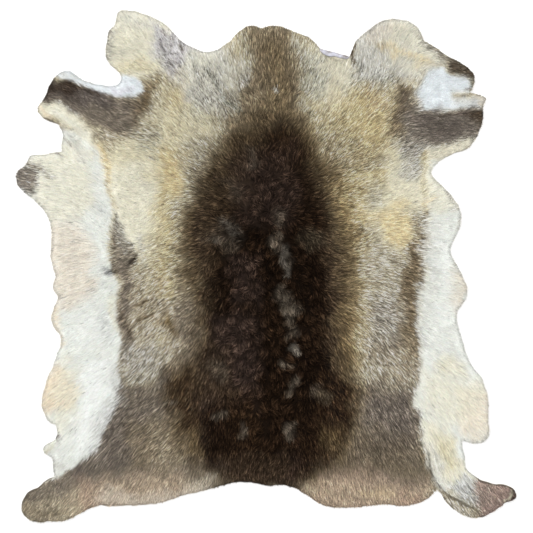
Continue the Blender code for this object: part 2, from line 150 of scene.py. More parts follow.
def cut_line(corners):
    """The knife's cut: the rim at even steps, its corners rounded by quarter, half, quarter, then inset."""
    loop = np.vstack([corners, corners[:1]])
    reach = np.concatenate([[0], np.cumsum(np.linalg.norm(np.diff(loop, axis=0), axis=1))])
    places = np.linspace(0, reach[-1], round(reach[-1] / CUT_STEP), endpoint=False)
    line = np.column_stack([np.interp(places, reach, loop[:, k]) for k in (0, 1)])
    for _ in range(CUT_ROUNDINGS):
        line = np.roll(line, 1, axis=0) / 4 + line / 2 + np.roll(line, -1, axis=0) / 4
    area = np.sum(line[:, 0] * np.roll(line[:, 1], -1) - line[:, 1] * np.roll(line[:, 0], -1))
    line = line if area > 0 else line[::-1]
    along = np.roll(line, -1, axis=0) - np.roll(line, 1, axis=0)
    inward = np.column_stack([-along[:, 1], along[:, 0]])
    return line + SKIN_INSET * inward / np.linalg.norm(inward, axis=1, keepdims=True)


def line_distance(points, line):
    """Distance from each point to the nearest place on a line of straight stretches."""
    nearest = np.full(len(points), np.inf)
    for start, end in zip(line[:-1], line[1:]):
        way = end - start
        share = np.clip((points - start) @ way / (way @ way), 0, 1)
        gap = points - start - share[:, None] * way
        nearest = np.minimum(nearest, gap[:, 0] ** 2 + gap[:, 1] ** 2)
    return np.sqrt(nearest)


def depth_inside(points, outline):
    """Distance from each point to an outline, and less than 0 where the point lies outside it. From inside,
    a ray to +X crosses the outline an odd number of times."""
    loop = np.vstack([outline, outline[:1]])
    x, y = points[:, 0], points[:, 1]
    odd = np.zeros(len(points), bool)
    for (ax, ay), (bx, by) in zip(loop[:-1], loop[1:]):
        if ay != by:
            odd ^= ((ay > y) != (by > y)) & (x < ax + (y - ay) * (bx - ax) / (by - ay))
    return line_distance(points, loop) * np.where(odd, 1, -1)


def honeycomb(step, margin):
    """Points in offset rows, as in a honeycomb, that keep a margin from the cut."""
    rows = np.arange(low.y, high.y, step * np.sqrt(3) / 2)
    places = np.arange(low.x, high.x, step)
    x = places[None, :] + (np.arange(len(rows)) % 2)[:, None] * step / 2
    field = np.column_stack([x.ravel(), np.repeat(rows, len(places))])
    return field[read_map(room_map, field) > margin]


def soft_noise(points, grain, seed):
    """Smooth random value from -1 to 1: random knots a grain apart, joined by smooth steps both ways."""
    values = np.random.default_rng(seed).uniform(-1, 1, (NOISE_KNOTS, NOISE_KNOTS))
    place = points / grain + (NOISE_KNOTS + 1) / 2
    cell = np.floor(place).astype(int)
    u, v = (3 * (place - cell) ** 2 - 2 * (place - cell) ** 3).T
    i, j = cell.T % NOISE_KNOTS
    beside, above = (i + 1) % NOISE_KNOTS, (j + 1) % NOISE_KNOTS
    near = values[i, j] * (1 - u) + values[beside, j] * u
    far = values[i, above] * (1 - u) + values[beside, above] * u
    return near * (1 - v) + far * v


def filled(edge, inner):
    """Triangles that look up, over a closed edge and the points within it."""
    around = [(i, (i + 1) % len(edge)) for i in range(len(edge))]
    corners = [Vector(p) for p in np.vstack([edge, inner])]
    inside_only = 1
    net = delaunay_2d_cdt(corners, around, [], inside_only, SHEET_MERGE)
    return np.array(net[0]), np.array(net[2])


def piece(name, points, faces, material):
    """A mesh object from its points and triangles, with its material."""
    mesh = bpy.data.meshes.new(name)
    mesh.vertices.add(len(points))
    mesh.vertices.foreach_set("co", points.astype(np.float32).ravel())
    mesh.loops.add(3 * len(faces))
    mesh.loops.foreach_set("vertex_index", faces.astype(np.int32).ravel())
    mesh.polygons.add(len(faces))
    mesh.polygons.foreach_set("loop_start", np.arange(0, 3 * len(faces), 3, dtype=np.int32))
    mesh.update(calc_edges=True)
    mesh.shade_smooth()
    mesh.materials.append(material)
    made = bpy.data.objects.new(name, mesh)
    bpy.context.scene.collection.objects.link(made)
    return made


def thicken(sheet, thickness, side):
    """Gives a sheet its thickness, towards its front for side 1 and its back for side -1."""
    leather = sheet.modifiers.new("leather", "SOLIDIFY")
    leather.thickness = thickness
    leather.offset = side


def new_material(name, roughness, gloss):
    """A material, its nodes, its links and its surface shader."""
    material = bpy.data.materials.new(name)
    material.use_nodes = True
    nodes = material.node_tree.nodes
    surface = nodes["Principled BSDF"]
    surface.inputs["Roughness"].default_value = roughness
    surface.inputs["Specular IOR Level"].default_value = gloss
    return material, nodes, material.node_tree.links, surface


def new_node(nodes, kind, **values):
    """A node with values in its sockets, where from_min stands for the socket From Min."""
    made = nodes.new("ShaderNode" + kind)
    for name, value in values.items():
        made.inputs[name.replace("_", " ").title()].default_value = value
    return made


def suede(name, light, dark, clouds):
    """Buffed leather: light, with a number of darker clouds in a metre, and a fine nap."""
    material, nodes, links, surface = new_material(name, roughness=0.92, gloss=0.2)
    place = nodes.new("ShaderNodeTexCoord").outputs["Object"]
    cloud = new_node(nodes, "TexNoise", scale=clouds, detail=6)
    nap = new_node(nodes, "TexNoise", scale=NAP_GRAINS, detail=3)
    raised = new_node(nodes, "Bump", strength=0.4, distance=NAP_HEIGHT)
    shade = nodes.new("ShaderNodeValToRGB")
    for stop, position, colour in zip(shade.color_ramp.elements, (0.35, 0.6), (dark, light)):
        stop.position = position
        stop.color = (*colour, 1)
    links.new(place, cloud.inputs["Vector"])
    links.new(place, nap.inputs["Vector"])
    links.new(cloud.outputs["Fac"], shade.inputs["Fac"])
    links.new(shade.outputs["Color"], surface.inputs["Base Color"])
    links.new(nap.outputs["Fac"], raised.inputs["Height"])
    links.new(raised.outputs["Normal"], surface.inputs["Normal"])
    return material


floor_map = height_map(solid, -MAP_START)
top_map = height_map(solid, MAP_START)
cut = cut_line(rim_corners(solid))
room_map = depth_inside(knots, cut).reshape(floor_map.shape)

spots, faces = filled(cut, honeycomb(SKIN_STEP, CUT_MARGIN * SKIN_STEP))
pucker = PUCKER_HEIGHT * (1 + soft_noise(spots, PUCKER_GRAIN, seed=11)) / 2
skin = piece("skin", np.column_stack([spots, read_map(floor_map, spots) + pucker]), faces,
             suede("cream suede", CREAM_SUEDE, GREY_SUEDE, SUEDE_CLOUDS))
thicken(skin, SKIN_THICKNESS, side=1)
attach(skin, "root")
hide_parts("hide")

# The curled edge -----------------------------------------------------------------------------------------
# Beside the neck, on the right, the thin cut edge has dried into a roll, so its bare flesh side faces up:
# the same leather, a little lilac. It has no hair, and the hair round it stops short of it.

CURL_MIDDLE = np.array([15.9, 50.2]) * CM
CURL_HALF_LENGTH = 3.9 * CM
CURL_RADIUS = 6.2 * MM
CURL_PROUD = 0.8 * MM           # how far the roll stands out from the cut
CURL_TURN = 235                 # degrees that the skin turns, from flat on the floor
CURL_POINTS = 15                # on the way round that turn
CURL_THICKNESS = 0.5            # share of the skin's thickness that its thin edge has
PINCH = 0.25                    # share by which the roll is fatter or thinner in places
PINCH_GRAIN = 1.3 * CM
LILAC_SUEDE = (0.55, 0.55, 0.62)
BROWN_SUEDE = (0.20, 0.17, 0.15)
CURL_CLOUDS = 60


def curl_radius(points):
    """Radius of the roll beside each point: the full one times 1 - (distance to its middle / half length)
    to the fourth, less where the roll is pinched, and nothing past its ends."""
    away = np.linalg.norm(points - CURL_MIDDLE, axis=1) / CURL_HALF_LENGTH
    pinched = 1 + PINCH * soft_noise(points, PINCH_GRAIN, seed=61)
    return CURL_RADIUS * np.clip(1 - away ** 4, 0, 1) * pinched


rolled = np.flatnonzero(np.linalg.norm(cut - CURL_MIDDLE, axis=1) < CURL_HALF_LENGTH)
edge = cut[rolled]
along = np.roll(cut, -1, axis=0)[rolled] - np.roll(cut, 1, axis=0)[rolled]
outward = np.column_stack([along[:, 1], -along[:, 0]]) / np.linalg.norm(along, axis=1, keepdims=True)
radius = curl_radius(edge)[:, None]
turns = np.radians(np.linspace(0, CURL_TURN, CURL_POINTS))[None, :]
reach = CURL_PROUD - radius + radius * np.sin(turns)
height = read_map(floor_map, edge)[:, None] + radius * (1 - np.cos(turns))
place = edge[:, None, :] + outward[:, None, :] * reach[:, :, None]
points = np.concatenate([place, height[:, :, None]], axis=2)
rows, columns = points.shape[:2]
here = (np.arange(rows - 1)[:, None] * columns + np.arange(columns - 1)[None, :]).ravel()
faces = np.vstack([np.column_stack([here, here + columns, here + 1]),
                   np.column_stack([here + 1, here + columns, here + columns + 1])])
curl = piece("curled_edge", points.reshape(-1, 3), faces,
             suede("lilac suede", LILAC_SUEDE, BROWN_SUEDE, CURL_CLOUDS))
thicken(curl, CURL_THICKNESS * SKIN_THICKNESS, side=-1)
curl.parent = skin

# The undercoat -------------------------------------------------------------------------------------------
# The dense crimped wool next to the skin, from which the hair stands. It is modelled as one soft closed mat,
# about two thirds as deep as the coat, tinted as the hair over it but darker, a painted shade for the gaps
# between the hairs, and lumpy where locks part.

WOOL_STEP = 6 * MM
WOOL_UNDER_STEP = 12 * MM
UNDER_MARGIN = 0.5              # share of a step by which its underside's points keep clear of the cut
WOOL_LIFT = 0.3 * MM            # of its underside off the leather
WOOL_DEPTH = 0.62               # the mat's height as a share of the whole coat's
WOOL_LUMP = 1.2 * MM            # height of its lumps
LUMP_GRAIN = 1.1 * CM
LUMP_FADE = 1 * CM              # how far from the cut they begin to fade
WOOL_MOTTLES = 700              # mottles in a metre of it
WOOL_SHADE = 0.5                # how much darker the wool is than dark hair over it: painted shade in the gaps
RIM_SHADE = 0.45                # and how much darker the cut edge: the dark cut leather, with painted shade of the edge and the hair over it
LIGHTNESS = (0.21, 0.72, 0.07)  # share of red, green and blue in how light a colour looks

# How light a colour is, and how much hair of that colour varies.
CONTRAST = [(0, 1.4), (0.04, 1.0), (0.10, 0.75), (0.20, 0.85), (0.34, 1.10), (0.44, 0.70), (0.56, 0.42),
            (0.64, 0.20), (0.72, 0.10)]

# Pigments, as red, green and blue on a display, 0 to 255, and the one of all hair that no marking covers.
PIGMENTS = {
    "snow": (230, 232, 228), "milk": (221, 223, 217), "frost": (214, 219, 221), "ivory": (219, 216, 199),
    "peach": (222, 208, 184), "blush": (216, 208, 194), "cream": (212, 206, 182), "lilac": (204, 201, 208),
    "gold": (220, 200, 156), "pearl": (198, 197, 190), "straw": (203, 193, 160), "honey": (204, 184, 134),
    "sand": (186, 176, 150), "steel": (170, 172, 170), "ash": (166, 162, 151), "ochre": (178, 156, 112),
    "fawn": (168, 156, 134), "rose": (168, 147, 128), "clay": (150, 131, 121), "moss": (124, 125, 112),
    "smoke": (130, 123, 112), "drab": (124, 112, 92), "taupe": (116, 107, 95), "haze": (104, 95, 83),
    "olive": (108, 92, 64), "slate": (96, 88, 82), "bark": (76, 62, 42), "dusk": (64, 52, 39),
    "plum": (62, 50, 44), "umber": (47, 34, 22), "soot": (32, 22, 14), "pitch": (19, 12, 7),
}
GROUND = "sand"

# The soft edge of a marking wanders by two smooth noises, a coarse one and a fine one: their grain, and how
# many centimetres each moves it. An edge softer than FREE_SOFT_CM wanders in full, and a sharp one hardly.
COARSE_GRAIN, COARSE_WANDER_CM = 2.8 * CM, 1.3
FINE_GRAIN, FINE_WANDER_CM = 0.9 * CM, 0.5
WANDER_ROOM_CM = 2
FREE_SOFT_CM = 3

Patch = namedtuple("Patch", "pigment soft_cm strength share line_cm")
Streak = namedtuple("Streak", "pigment width_cm soft_cm strength share line_cm")

# The coat's markings in the order in which they cover each other, seen from above with the neck at +Y.
# Soft is the width over which a marking fades out, and share is the part of the wisps that takes it. Width
# is half the width of a streak. The line has a patch's corners or a streak's course, as "x,y x,y" in
# centimetres.
MARKINGS = [
    # Grounds of the flanks and haunches, over sandy hair.
    Patch("cream", 5, 1, 1, "-39,26 -32,30 -24,29 -24,12 -28,3 -33,8 -36,14"),
    Patch("ivory", 4, 1, 1, "-37,24 -29,24 -26,18 -26.6,10 -31,4 -36,10"),
    Patch("fawn", 6, 0.9, 1, "-36,0 -25,0 -20,-6 -13,-8 -12,-24 -36,-24"),
    Patch("taupe", 5, 1, 1, "-42,-25 -28,-28 -22,-22 -12,-22 -12,-52 -22,-51.4 -34,-51.4 -46,-55 -52,-50 "
          "-40,-40"),
    Patch("cream", 5, 0.9, 1, "27,27 38,27 38,12 28,13 27,20"),
    Patch("ivory", 4, 0.6, 0.9, "29,23 37,22 37,14 29,14"),
    Patch("fawn", 6, 0.8, 1, "14,4 36,2 36,-26 14,-24"),
    Patch("taupe", 5, 1, 1, "12,-26 22,-28 28,-26 34,-28 36,-35 40,-52 30,-51.4 20,-50.4 12,-51"),
    # Neck.
    Patch("drab", 6, 1, 1, "-5,58 6,57 8,48 9,38 11,30 11,24 -10,24 -10,32 -7,40 -4,48"),
    Patch("olive", 5, 0.5, 1, "-2,53 5,53 6,44 7,34 -2,34 0,44"),
    Patch("cream", 5, 0.7, 0.9, "-20,52 -10,51 -8,44 -14,34 -20,38"),
    Patch("pearl", 5, 0.9, 0.9, "-20,53 -10,52 -8,44 -10,36 -20,38"),
    Patch("ivory", 4, 0.5, 0.9, "-19,49 -12,49 -8,43 -7,36 -10,35 -18,37"),
    Patch("slate", 3, 0.8, 0.28, "-17,46.4 -12,47 -8,41 -6,36 -9,34 -17,36"),
    Streak("moss", 0.4, 0.8, 0.8, 0.7, "-14.5,46.5 -11,41.5 -9.8,38.5 -6.5,36.5"),
    Streak("moss", 0.5, 1, 0.8, 0.7, "-17.5,36 -16,34.6"),
    Streak("moss", 0.3, 0.8, 0.6, 0.7, "-18,50 -16.6,46.5 -15.6,42"),
    Streak("pearl", 1.5, 3, 0.5, 0.7, "-6.5,47 -6,43"),
    Streak("milk", 0.3, 0.5, 0.5, 0.8, "1.6,41.4 2.4,41.2"),
    Patch("ivory", 5, 0.8, 0.9, "9,51 19,49 21,43 18,36 10,37"),
    Patch("honey", 5, 0.35, 0.8, "9,40 20,40 20,30 10,30"),
    Streak("moss", 1, 2.5, 0.5, 0.4, "10,36 12.5,32.5 15.5,31"),
    Streak("moss", 0.8, 2, 0.5, 0.4, "16,33 19,30.5"),
    # Left chest flap.
    Patch("ivory", 2, 1, 1, "-40,63 -22,62 -19,54 -24,46 -30,44 -41,46"),
    Patch("pearl", 4, 0.6, 0.7, "-36,61 -26,59 -25,56 -34,56"),
    Patch("pearl", 4, 0.8, 0.8, "-26.5,58 -19,54 -19,48 -22,45 -26.5,50"),
    Streak("ash", 0.8, 1.8, 0.8, 0.6, "-37.6,49 -37.2,52.5 -36.4,55.6"),
    Streak("ash", 0.4, 1.2, 0.5, 0.5, "-36.4,50.3 -33.4,50"),
    Streak("straw", 1.2, 3, 0.7, 0.8, "-36,46.4 -32,47.6 -27,46.4"),
    Patch("lilac", 3, 0.6, 0.8, "-26.6,58 -19,54 -19,48 -22,45 -26.5,50"),
    Patch("slate", 3, 0.7, 0.2, "-26,57 -20.5,53 -20,46 -26,47"),
    Streak("slate", 0.2, 0.8, 0.7, 0.7, "-38,48.4 -37.8,52 -37,55.4"),
    Streak("slate", 0.2, 0.6, 0.7, 0.6, "-25,53.5 -24.4,50 -21.6,46"),
    Streak("slate", 0.2, 0.6, 0.7, 0.6, "-23.4,51.4 -21.6,49.6"),
    Streak("smoke", 0.4, 1.2, 0.7, 0.6, "-25,56.4 -22.4,53.6"),
    Streak("slate", 0.2, 0.5, 0.6, 0.6, "-25.6,48 -23,46.4 -21.2,45"),
    Streak("bark", 0.4, 0.8, 0.8, 0.8, "-20.6,52.6 -20,50.6"),
    # Left foreleg.
    Patch("taupe", 3, 1, 1, "-54,45 -47,43 -40,41 -35,40 -30,40.5 -27,44 -26,40 -29,34 -32,30.5 -38,31 "
          "-42,33 -47,37 -54,38.5"),
    Patch("fawn", 3, 0.5, 0.6, "-38,31 -30,33 -28,29 -37,28"),
    Patch("slate", 2.4, 0.9, 1, "-54,45 -45,42.6 -38,40.2 -36,37.6 -42,37.6 -47,39 -54,40"),
    Patch("umber", 3, 0.8, 0.95, "-54,45 -48,43.6 -43.4,41.8 -44.4,40 -49,40.2 -54,40.6"),
    Streak("umber", 0.4, 1, 0.7, 0.9, "-49,43.4 -44,41.8 -39.6,40"),
    Patch("olive", 3, 0.5, 0.8, "-31,40 -28,45 -25.6,45.6 -26,40 -30,33 -32,34"),
    Streak("olive", 0.8, 2.4, 0.6, 0.7, "-25.5,45 -27.4,41 -29,37"),
    Patch("frost", 1, 1, 1, "-52,47 -49.6,44.8 -46,43.5 -42,41.9 -39,40.4 -35,39.9 -31,40 -29,41 -29.4,43 "
          "-31,44.6 -34,45.4 -36,44 -44,47"),
    Streak("pearl", 0.4, 1, 0.7, 0.6, "-48.5,45.2 -44.6,44.2 -41,43"),
    Streak("lilac", 0.8, 2, 0.6, 0.8, "-36,41.2 -31.4,42"),
    Streak("ivory", 1.6, 1.8, 1, 1, "-52.6,36.8 -49,36.4 -45,33.4 -41.6,29.6 -40,26.5"),
    Streak("snow", 0.6, 1.4, 0.3, 0.9, "-50,36.2 -46.4,34.4 -42.6,30.6 -40.4,27"),
    Streak("pearl", 0.4, 1.2, 0.6, 0.5, "-49.5,38.2 -46.5,37.2 -44,35.4"),
    Streak("peach", 0.5, 1.2, 0.8, 0.9, "-53,37.4 -52,35.6 -50.6,34.9"),
    Streak("umber", 0.2, 0.5, 0.8, 0.8, "-52.2,34.7 -50.2,34"),
    # Left belly panel, chest tip to hind leg.
    Patch("milk", 1.1, 1, 1, "-49,32 -45,31.4 -41.5,28.6 -39.6,26.5 -38.4,24 -37.8,21 -37.2,17 -36.2,13.6 "
          "-36.8,10 -37.2,5 -37.2,1 -35.8,-2 -35.1,-6 -35.2,-10 -34.8,-14 -34.4,-19 -35,-21 -34.8,-25 "
          "-35,-29 -36,-33 -37.4,-37 -39,-41 -41.4,-43.6 -44.6,-46.6 -47.6,-48.8 -51,-51 -60,-52 -62,32"),
    Patch("ivory", 4, 0.8, 0.9, "-56,27 -44,30 -41,26 -40,18 -44,11 -52,9 -56,16"),
    Patch("blush", 4, 0.9, 0.9, "-53,10 -43,10 -41,4 -40,-6 -46,-10 -53,-8"),
    Patch("peach", 4.4, 0.9, 0.9, "-54,-24 -47,-24 -43.6,-28 -46,-33 -54,-36"),
    Patch("ivory", 4, 0.6, 0.9, "-48,-22 -43,-24 -42,-32 -46,-38 -54,-44 -50,-34"),
    Patch("snow", 3, 1, 1, "-43,-22 -35,-22 -35,-32 -40,-42 -46,-45 -44,-34"),
    # Painted light and shade of the belly's folds: a pale ridge, and the pinkish shade of the fold beside it.
    Patch("snow", 4, 0.6, 0.9, "-47,-11 -37,-11 -36,-18 -46,-19"),
    Streak("peach", 0.8, 1.8, 0.8, 0.8, "-50,-9.5 -50,-13.4 -48,-18"),
    Streak("pearl", 0.8, 1.8, 0.7, 0.8, "-47.6,32 -44.6,28.4 -42.8,25"),
    Streak("ash", 0.3, 0.7, 0.9, 0.8, "-47.6,30 -46.2,28.4"),
    Streak("slate", 0.3, 0.6, 0.8, 0.8, "-49.4,26.6 -48.2,25.9"),
    Streak("steel", 0.8, 2.4, 0.6, 0.5, "-40,14 -37.8,12.6"),
    Patch("smoke", 3, 1, 0.95, "-60,24 -56.5,24.6 -54,23.8 -53.6,20 -54.6,17.5 -60,17"),
    Patch("slate", 2, 0.6, 0.6, "-60,23 -57,23.4 -55,20 -56,18 -60,18"),
    Streak("drab", 0.4, 1.2, 0.8, 0.8, "-56,24.4 -53,22.8 -50.4,21"),
    Streak("ash", 0.4, 1.2, 0.5, 0.6, "-54.5,16.4 -52.4,13 -51,10.6"),
    Streak("ash", 0.2, 0.6, 0.5, 0.5, "-48.4,10.8 -46,10"),
    Streak("slate", 0.2, 0.6, 0.7, 0.6, "-48.8,-7.2 -47.8,-7.6"),
    Streak("steel", 0.5, 1.6, 0.5, 0.5, "-42,-5.6 -38,-4.4"),
    Streak("steel", 0.8, 2, 0.6, 0.4, "-38.6,-12 -38,-17.5"),
    Streak("straw", 0.5, 1.6, 0.6, 0.6, "-36,-7 -36.2,-11 -35.4,-15"),
    Streak("steel", 0.3, 1, 0.8, 0.8, "-50.4,-38.6 -48.4,-40.4"),
    Streak("slate", 0.2, 0.6, 0.8, 0.8, "-49.8,-39.4 -48.8,-41.6"),
    Patch("pearl", 1.6, 0.8, 0.8, "-51,-44.6 -48.6,-44.6 -47.6,-47 -51,-50"),
    Streak("straw", 0.5, 1.4, 0.5, 0.7, "-52,-43.6 -50.4,-42.2"),
    # The belly line on the left: tan hair, a dark whorl, and the dark stripe behind it.
    Streak("ochre", 0.3, 1.2, 0.6, 0.7, "-38.6,28 -37.6,24.5 -37.4,21 -36.6,17.4 -35.6,14"),
    Streak("gold", 0.8, 2, 0.6, 0.7, "-39.4,29 -37.4,24 -37.2,20.6"),
    Patch("slate", 1.6, 0.75, 0.9, "-35.4,12.6 -34.4,10 -32.8,7 -31,4 -30.2,1 -31.6,-0.8 -36.6,-0.6 "
          "-36.2,6"),
    Streak("ash", 0.4, 1.4, 0.7, 0.7, "-34.4,6 -33,3.4"),
    Streak("dusk", 0.2, 0.7, 0.8, 0.7, "-35.4,12.4 -35.8,7 -36.2,3"),
    Streak("soot", 0.5, 0.9, 0.9, 0.9, "-37.8,-1.4 -34.4,-0.8 -31.6,1 -30.4,2.6"),
    Streak("steel", 0.6, 1.4, 0.8, 0.7, "-38.4,-0.4 -36.8,-2"),
    Streak("taupe", 1.2, 2.2, 1, 0.95, "-33.2,-1 -33,-8 -33.4,-14 -33,-21"),
    Streak("slate", 0.8, 2.4, 0.35, 0.8, "-33.8,-2 -33.4,-8 -33.8,-14 -33.4,-20"),
    Streak("bark", 0.5, 1.4, 0.6, 0.7, "-33.6,-11 -33,-15 -32.4,-18"),
    Streak("pearl", 0.8, 1.8, 0.8, 0.6, "-29.6,6.6 -28.6,4 -28.4,0.6"),
    # Left flank.
    Streak("honey", 1.8, 4.4, 0.5, 0.75, "-21,40 -23.6,24 -24,12 -23.6,-6"),
    Patch("moss", 4, 0.7, 0.25, "-32,33 -23,31 -22,26 -31,27.5"),
    Streak("slate", 0.2, 0.6, 0.8, 0.7, "-27.6,25.4 -25.4,25.2"),
    Streak("slate", 0.2, 0.7, 0.8, 0.7, "-28,30 -25.6,31 -23.6,29.6"),
    Streak("gold", 1.2, 3, 0.7, 0.7, "-23,24 -21.6,19.4"),
    Patch("smoke", 5, 0.7, 0.5, "-18,28 -12,29 -14,12 -17.6,6 -18,18"),
    Patch("cream", 4, 0.7, 0.8, "-27,36 -13,37 -13,31 -18,28 -25,28"),
    Patch("gold", 3, 0.35, 0.5, "-24.6,28 -20,28 -20,16 -23.6,16"),
    Streak("straw", 1.2, 3, 0.5, 0.7, "-28,3 -28,-5"),
    Patch("drab", 3, 0.5, 0.5, "-31,-5 -24,-6 -24,-14 -31,-16"),
    Streak("bark", 0.4, 0.9, 0.9, 0.9, "-31,-9.4 -28,-7.8"),
    Streak("bark", 0.4, 0.9, 0.9, 0.9, "-30,-12.8 -27,-11.6"),
    Streak("olive", 1.1, 2.4, 1, 0.9, "-24,-12.6 -21.6,-14.6"),
    Streak("straw", 1, 2.6, 0.6, 0.6, "-26.6,-18.6 -24.6,-17"),
    Patch("taupe", 5, 0.9, 0.8, "-21,-4 -13,-6 -13,-24 -21,-24"),
    # Left haunch and hind leg.
    Patch("slate", 6, 0.5, 0.8, "-38,-32 -29,-34 -27,-42 -36,-47 -42,-46"),
    Patch("ash", 4, 0.8, 0.7, "-34,-19 -26,-18 -25,-25 -33,-27"),
    Patch("haze", 4, 0.4, 0.8, "-36,-24 -27,-24 -26,-31 -37,-32"),
    Patch("dusk", 5, 0.9, 0.9, "-25,-25 -17,-23 -14,-31 -15,-39 -21,-36 -25,-30"),
    Streak("ash", 0.4, 1.4, 0.8, 0.8, "-23.2,-32.4 -21.8,-32.2"),
    Streak("smoke", 0.8, 2.4, 0.6, 0.7, "-25.4,-28 -23,-26.5"),
    Patch("drab", 5, 0.8, 0.8, "-32,-36 -21,-36 -18,-44 -22,-50 -33,-48"),
    Patch("olive", 4, 0.25, 0.7, "-24,-35 -17,-36 -15,-44 -21,-45"),
    Patch("fawn", 5, 0.4, 0.7, "-27,-38 -19,-40 -16,-49 -27,-49"),
    Patch("fawn", 8, 1, 0.95, "-44,-52 -36,-50 -30,-50.4 -22,-49 -12,-50 -11,-56 -24,-64 -44,-62"),
    Patch("rose", 7, 0.6, 0.9, "-44,-51 -34,-49.6 -20,-49 -18,-54 -30,-58 -44,-61"),
    Streak("blush", 2.2, 3.4, 0.45, 0.9, "-38,-54.6 -30,-55.6 -22,-54.4 -14,-52"),
    Patch("rose", 3, 0.7, 0.7, "-46,-49 -40,-50 -38,-57 -46,-59 -47,-54"),
    Patch("fawn", 2, 0.8, 0.9, "-60,-50 -52,-50.6 -46,-48 -44,-52 -44,-62 -60,-62"),
    Patch("slate", 2, 0.7, 0.85, "-60,-51 -52,-51.4 -47,-48.4 -43,-45.6 -42,-48.6 -48,-54 -56,-55.4 "
          "-60,-56"),
    Patch("haze", 3, 0.4, 0.9, "-60,-54 -54,-53 -48,-55 -50,-61 -60,-60"),
    Streak("dusk", 0.4, 1.4, 0.6, 0.8, "-58,-56 -57.6,-53 -54,-51.6"),
    Streak("drab", 0.8, 2.4, 0.7, 0.7, "-56.4,-57 -52.4,-58 -49,-57"),
    # Right chest flap.
    Patch("pearl", 4, 0.9, 0.9, "19,54 26,60 38,60 38,53 41,48.5 36,45 30,44 21,43"),
    Patch("ivory", 4, 0.8, 0.8, "29,58 37,58 40,49 37,45 30,47 28,53"),
    Patch("blush", 3, 0.6, 0.7, "23,55 26,58 31,57 30,54 25,53"),
    Streak("gold", 0.8, 2.4, 0.6, 0.7, "27,52.6 30,50.6 33,49 37,47.6"),
    Patch("moss", 4, 0.7, 0.3, "20,49 25,47 31,45 29,40 22,34 18,42"),
    Patch("moss", 3, 0.8, 0.35, "8,50 13,49 15,44 13,38 8,40"),
    Streak("smoke", 0.3, 0.8, 0.8, 0.7, "20.8,42.6 22.4,40.6"),
    Streak("smoke", 0.3, 0.8, 0.8, 0.7, "25.8,44 24.2,41.4"),
    Streak("smoke", 0.3, 1, 0.7, 0.6, "22.4,47 20.6,44.4"),
    Streak("bark", 0.5, 0.9, 1, 0.8, "20.2,51.6 19.8,50 20.4,48"),
    Streak("smoke", 0.3, 0.8, 0.6, 0.6, "26,57 24.6,55"),
    Streak("ash", 0.6, 1.6, 0.5, 0.5, "36,56 35.2,54.6"),
    # Right foreleg.
    Patch("ash", 3, 0.9, 0.9, "33,40 37,37 44,36 54,37 52,30 44,28.6 38,26 32,27"),
    Patch("taupe", 4.4, 0.95, 0.95, "33.6,37 38,36.4 44,36 54,37 52,31.6 46,30 40,28 34,29"),
    Patch("frost", 1.9, 1, 1, "34.6,41 37,45.4 40.5,46.6 44,45.2 47,44.6 48.6,42 47.2,41.2 44.4,40.8 "
          "44,39.8 50,38.8 50,36.9 44,36.9 39.6,36.6 36.4,37.2"),
    Streak("steel", 0.6, 2, 0.5, 0.5, "36,38 35.4,42 37.6,45"),
    Patch("smoke", 2.4, 0.8, 0.85, "36.6,53.6 42,51.6 50.6,46 50.6,43.4 46.6,44.4 41,47.6"),
    Patch("dusk", 1.6, 0.9, 0.9, "43,48.6 50,46.6 49.4,44 46.8,44.6 43.4,46.4"),
    Streak("moss", 0.5, 1, 0.8, 0.8, "48,44 48.2,42.2"),
    Streak("olive", 0.2, 0.5, 0.8, 0.9, "46.8,41.7 47.6,41.6"),
    Streak("bark", 0.1, 0.4, 0.9, 0.9, "45.2,39.8 46.4,40 47.4,40.4"),
    Patch("pearl", 1.4, 0.7, 0.9, "44.4,39.6 47.4,40.2 53,40 51.4,37.6 46,37.6 44,38.4"),
    Streak("blush", 0.4, 1, 0.8, 0.8, "49.8,39.2 51.8,39.4 50,37.8"),
    Streak("dusk", 0.3, 0.9, 0.95, 0.95, "51,36 47,35.6 43,35.5 40,35.4"),
    Patch("dusk", 1.8, 0.9, 0.9, "45.4,35.8 52,36.2 52,33.2 48,33.6"),
    Patch("slate", 4.6, 0.75, 0.9, "34,36 48,36 48,31.4 42,28.6 36,28.6"),
    Patch("ivory", 2, 0.8, 0.85, "38,27 41,27.4 44,28.6 48.6,30 53,30 46,24 38,22"),
    Patch("olive", 4, 0.85, 0.9, "30,43.6 33.4,42.4 33.8,37 32.4,31 28.8,30 28.6,37"),
    Patch("slate", 4, 0.6, 0.85, "30,43 34,41 36,36 34,30 30,30 29,38"),
    Streak("dusk", 0.5, 2.6, 0.35, 0.7, "32.6,42.4 31.8,40 31,36"),
    Patch("ochre", 6, 0.5, 0.8, "20,41 28.4,41 29,28 22,24 18,32"),
    Patch("rose", 3, 0.6, 0.8, "23,41 27,41.4 27.4,36 24,35.6"),
    Patch("sand", 5, 0.6, 0.7, "14,36 21,38 24,28 20,25 15,28"),
    Patch("honey", 5, 0.4, 0.8, "17,42 27,41 28,26 20,22 15,30"),
    Patch("olive", 4, 0.6, 0.2, "14,40 18,39 24,24 20,18 14,22"),
    # Right flank.
    Patch("pearl", 4, 0.6, 0.7, "31,28 37,27 36.6,21 31,22"),
    Patch("smoke", 3, 0.6, 0.7, "32,32 37,30.4 36.4,22 34,20 32.4,25"),
    Patch("drab", 5, 0.7, 0.4, "16,30 27,28 28,24 21,21 14,20"),
    Patch("honey", 4, 0.6, 0.7, "19,22.6 28,22.6 28,18 20,18"),
    Patch("smoke", 3, 0.6, 0.4, "23,18.6 27,19 28,14.4 24,14"),
    Patch("honey", 4, 0.6, 0.8, "16,21 22,19 24,10 18,8"),
    Patch("cream", 5, 0.6, 0.9, "23,20 31,16 34,12 34,6 30,3 25,6"),
    Patch("gold", 4, 0.75, 0.85, "26,12 31,14 35,11 34,5 30,3.6 28,6"),
    Patch("gold", 4, 0.7, 0.8, "18,18 22,17 25.6,11 24,8 20,10"),
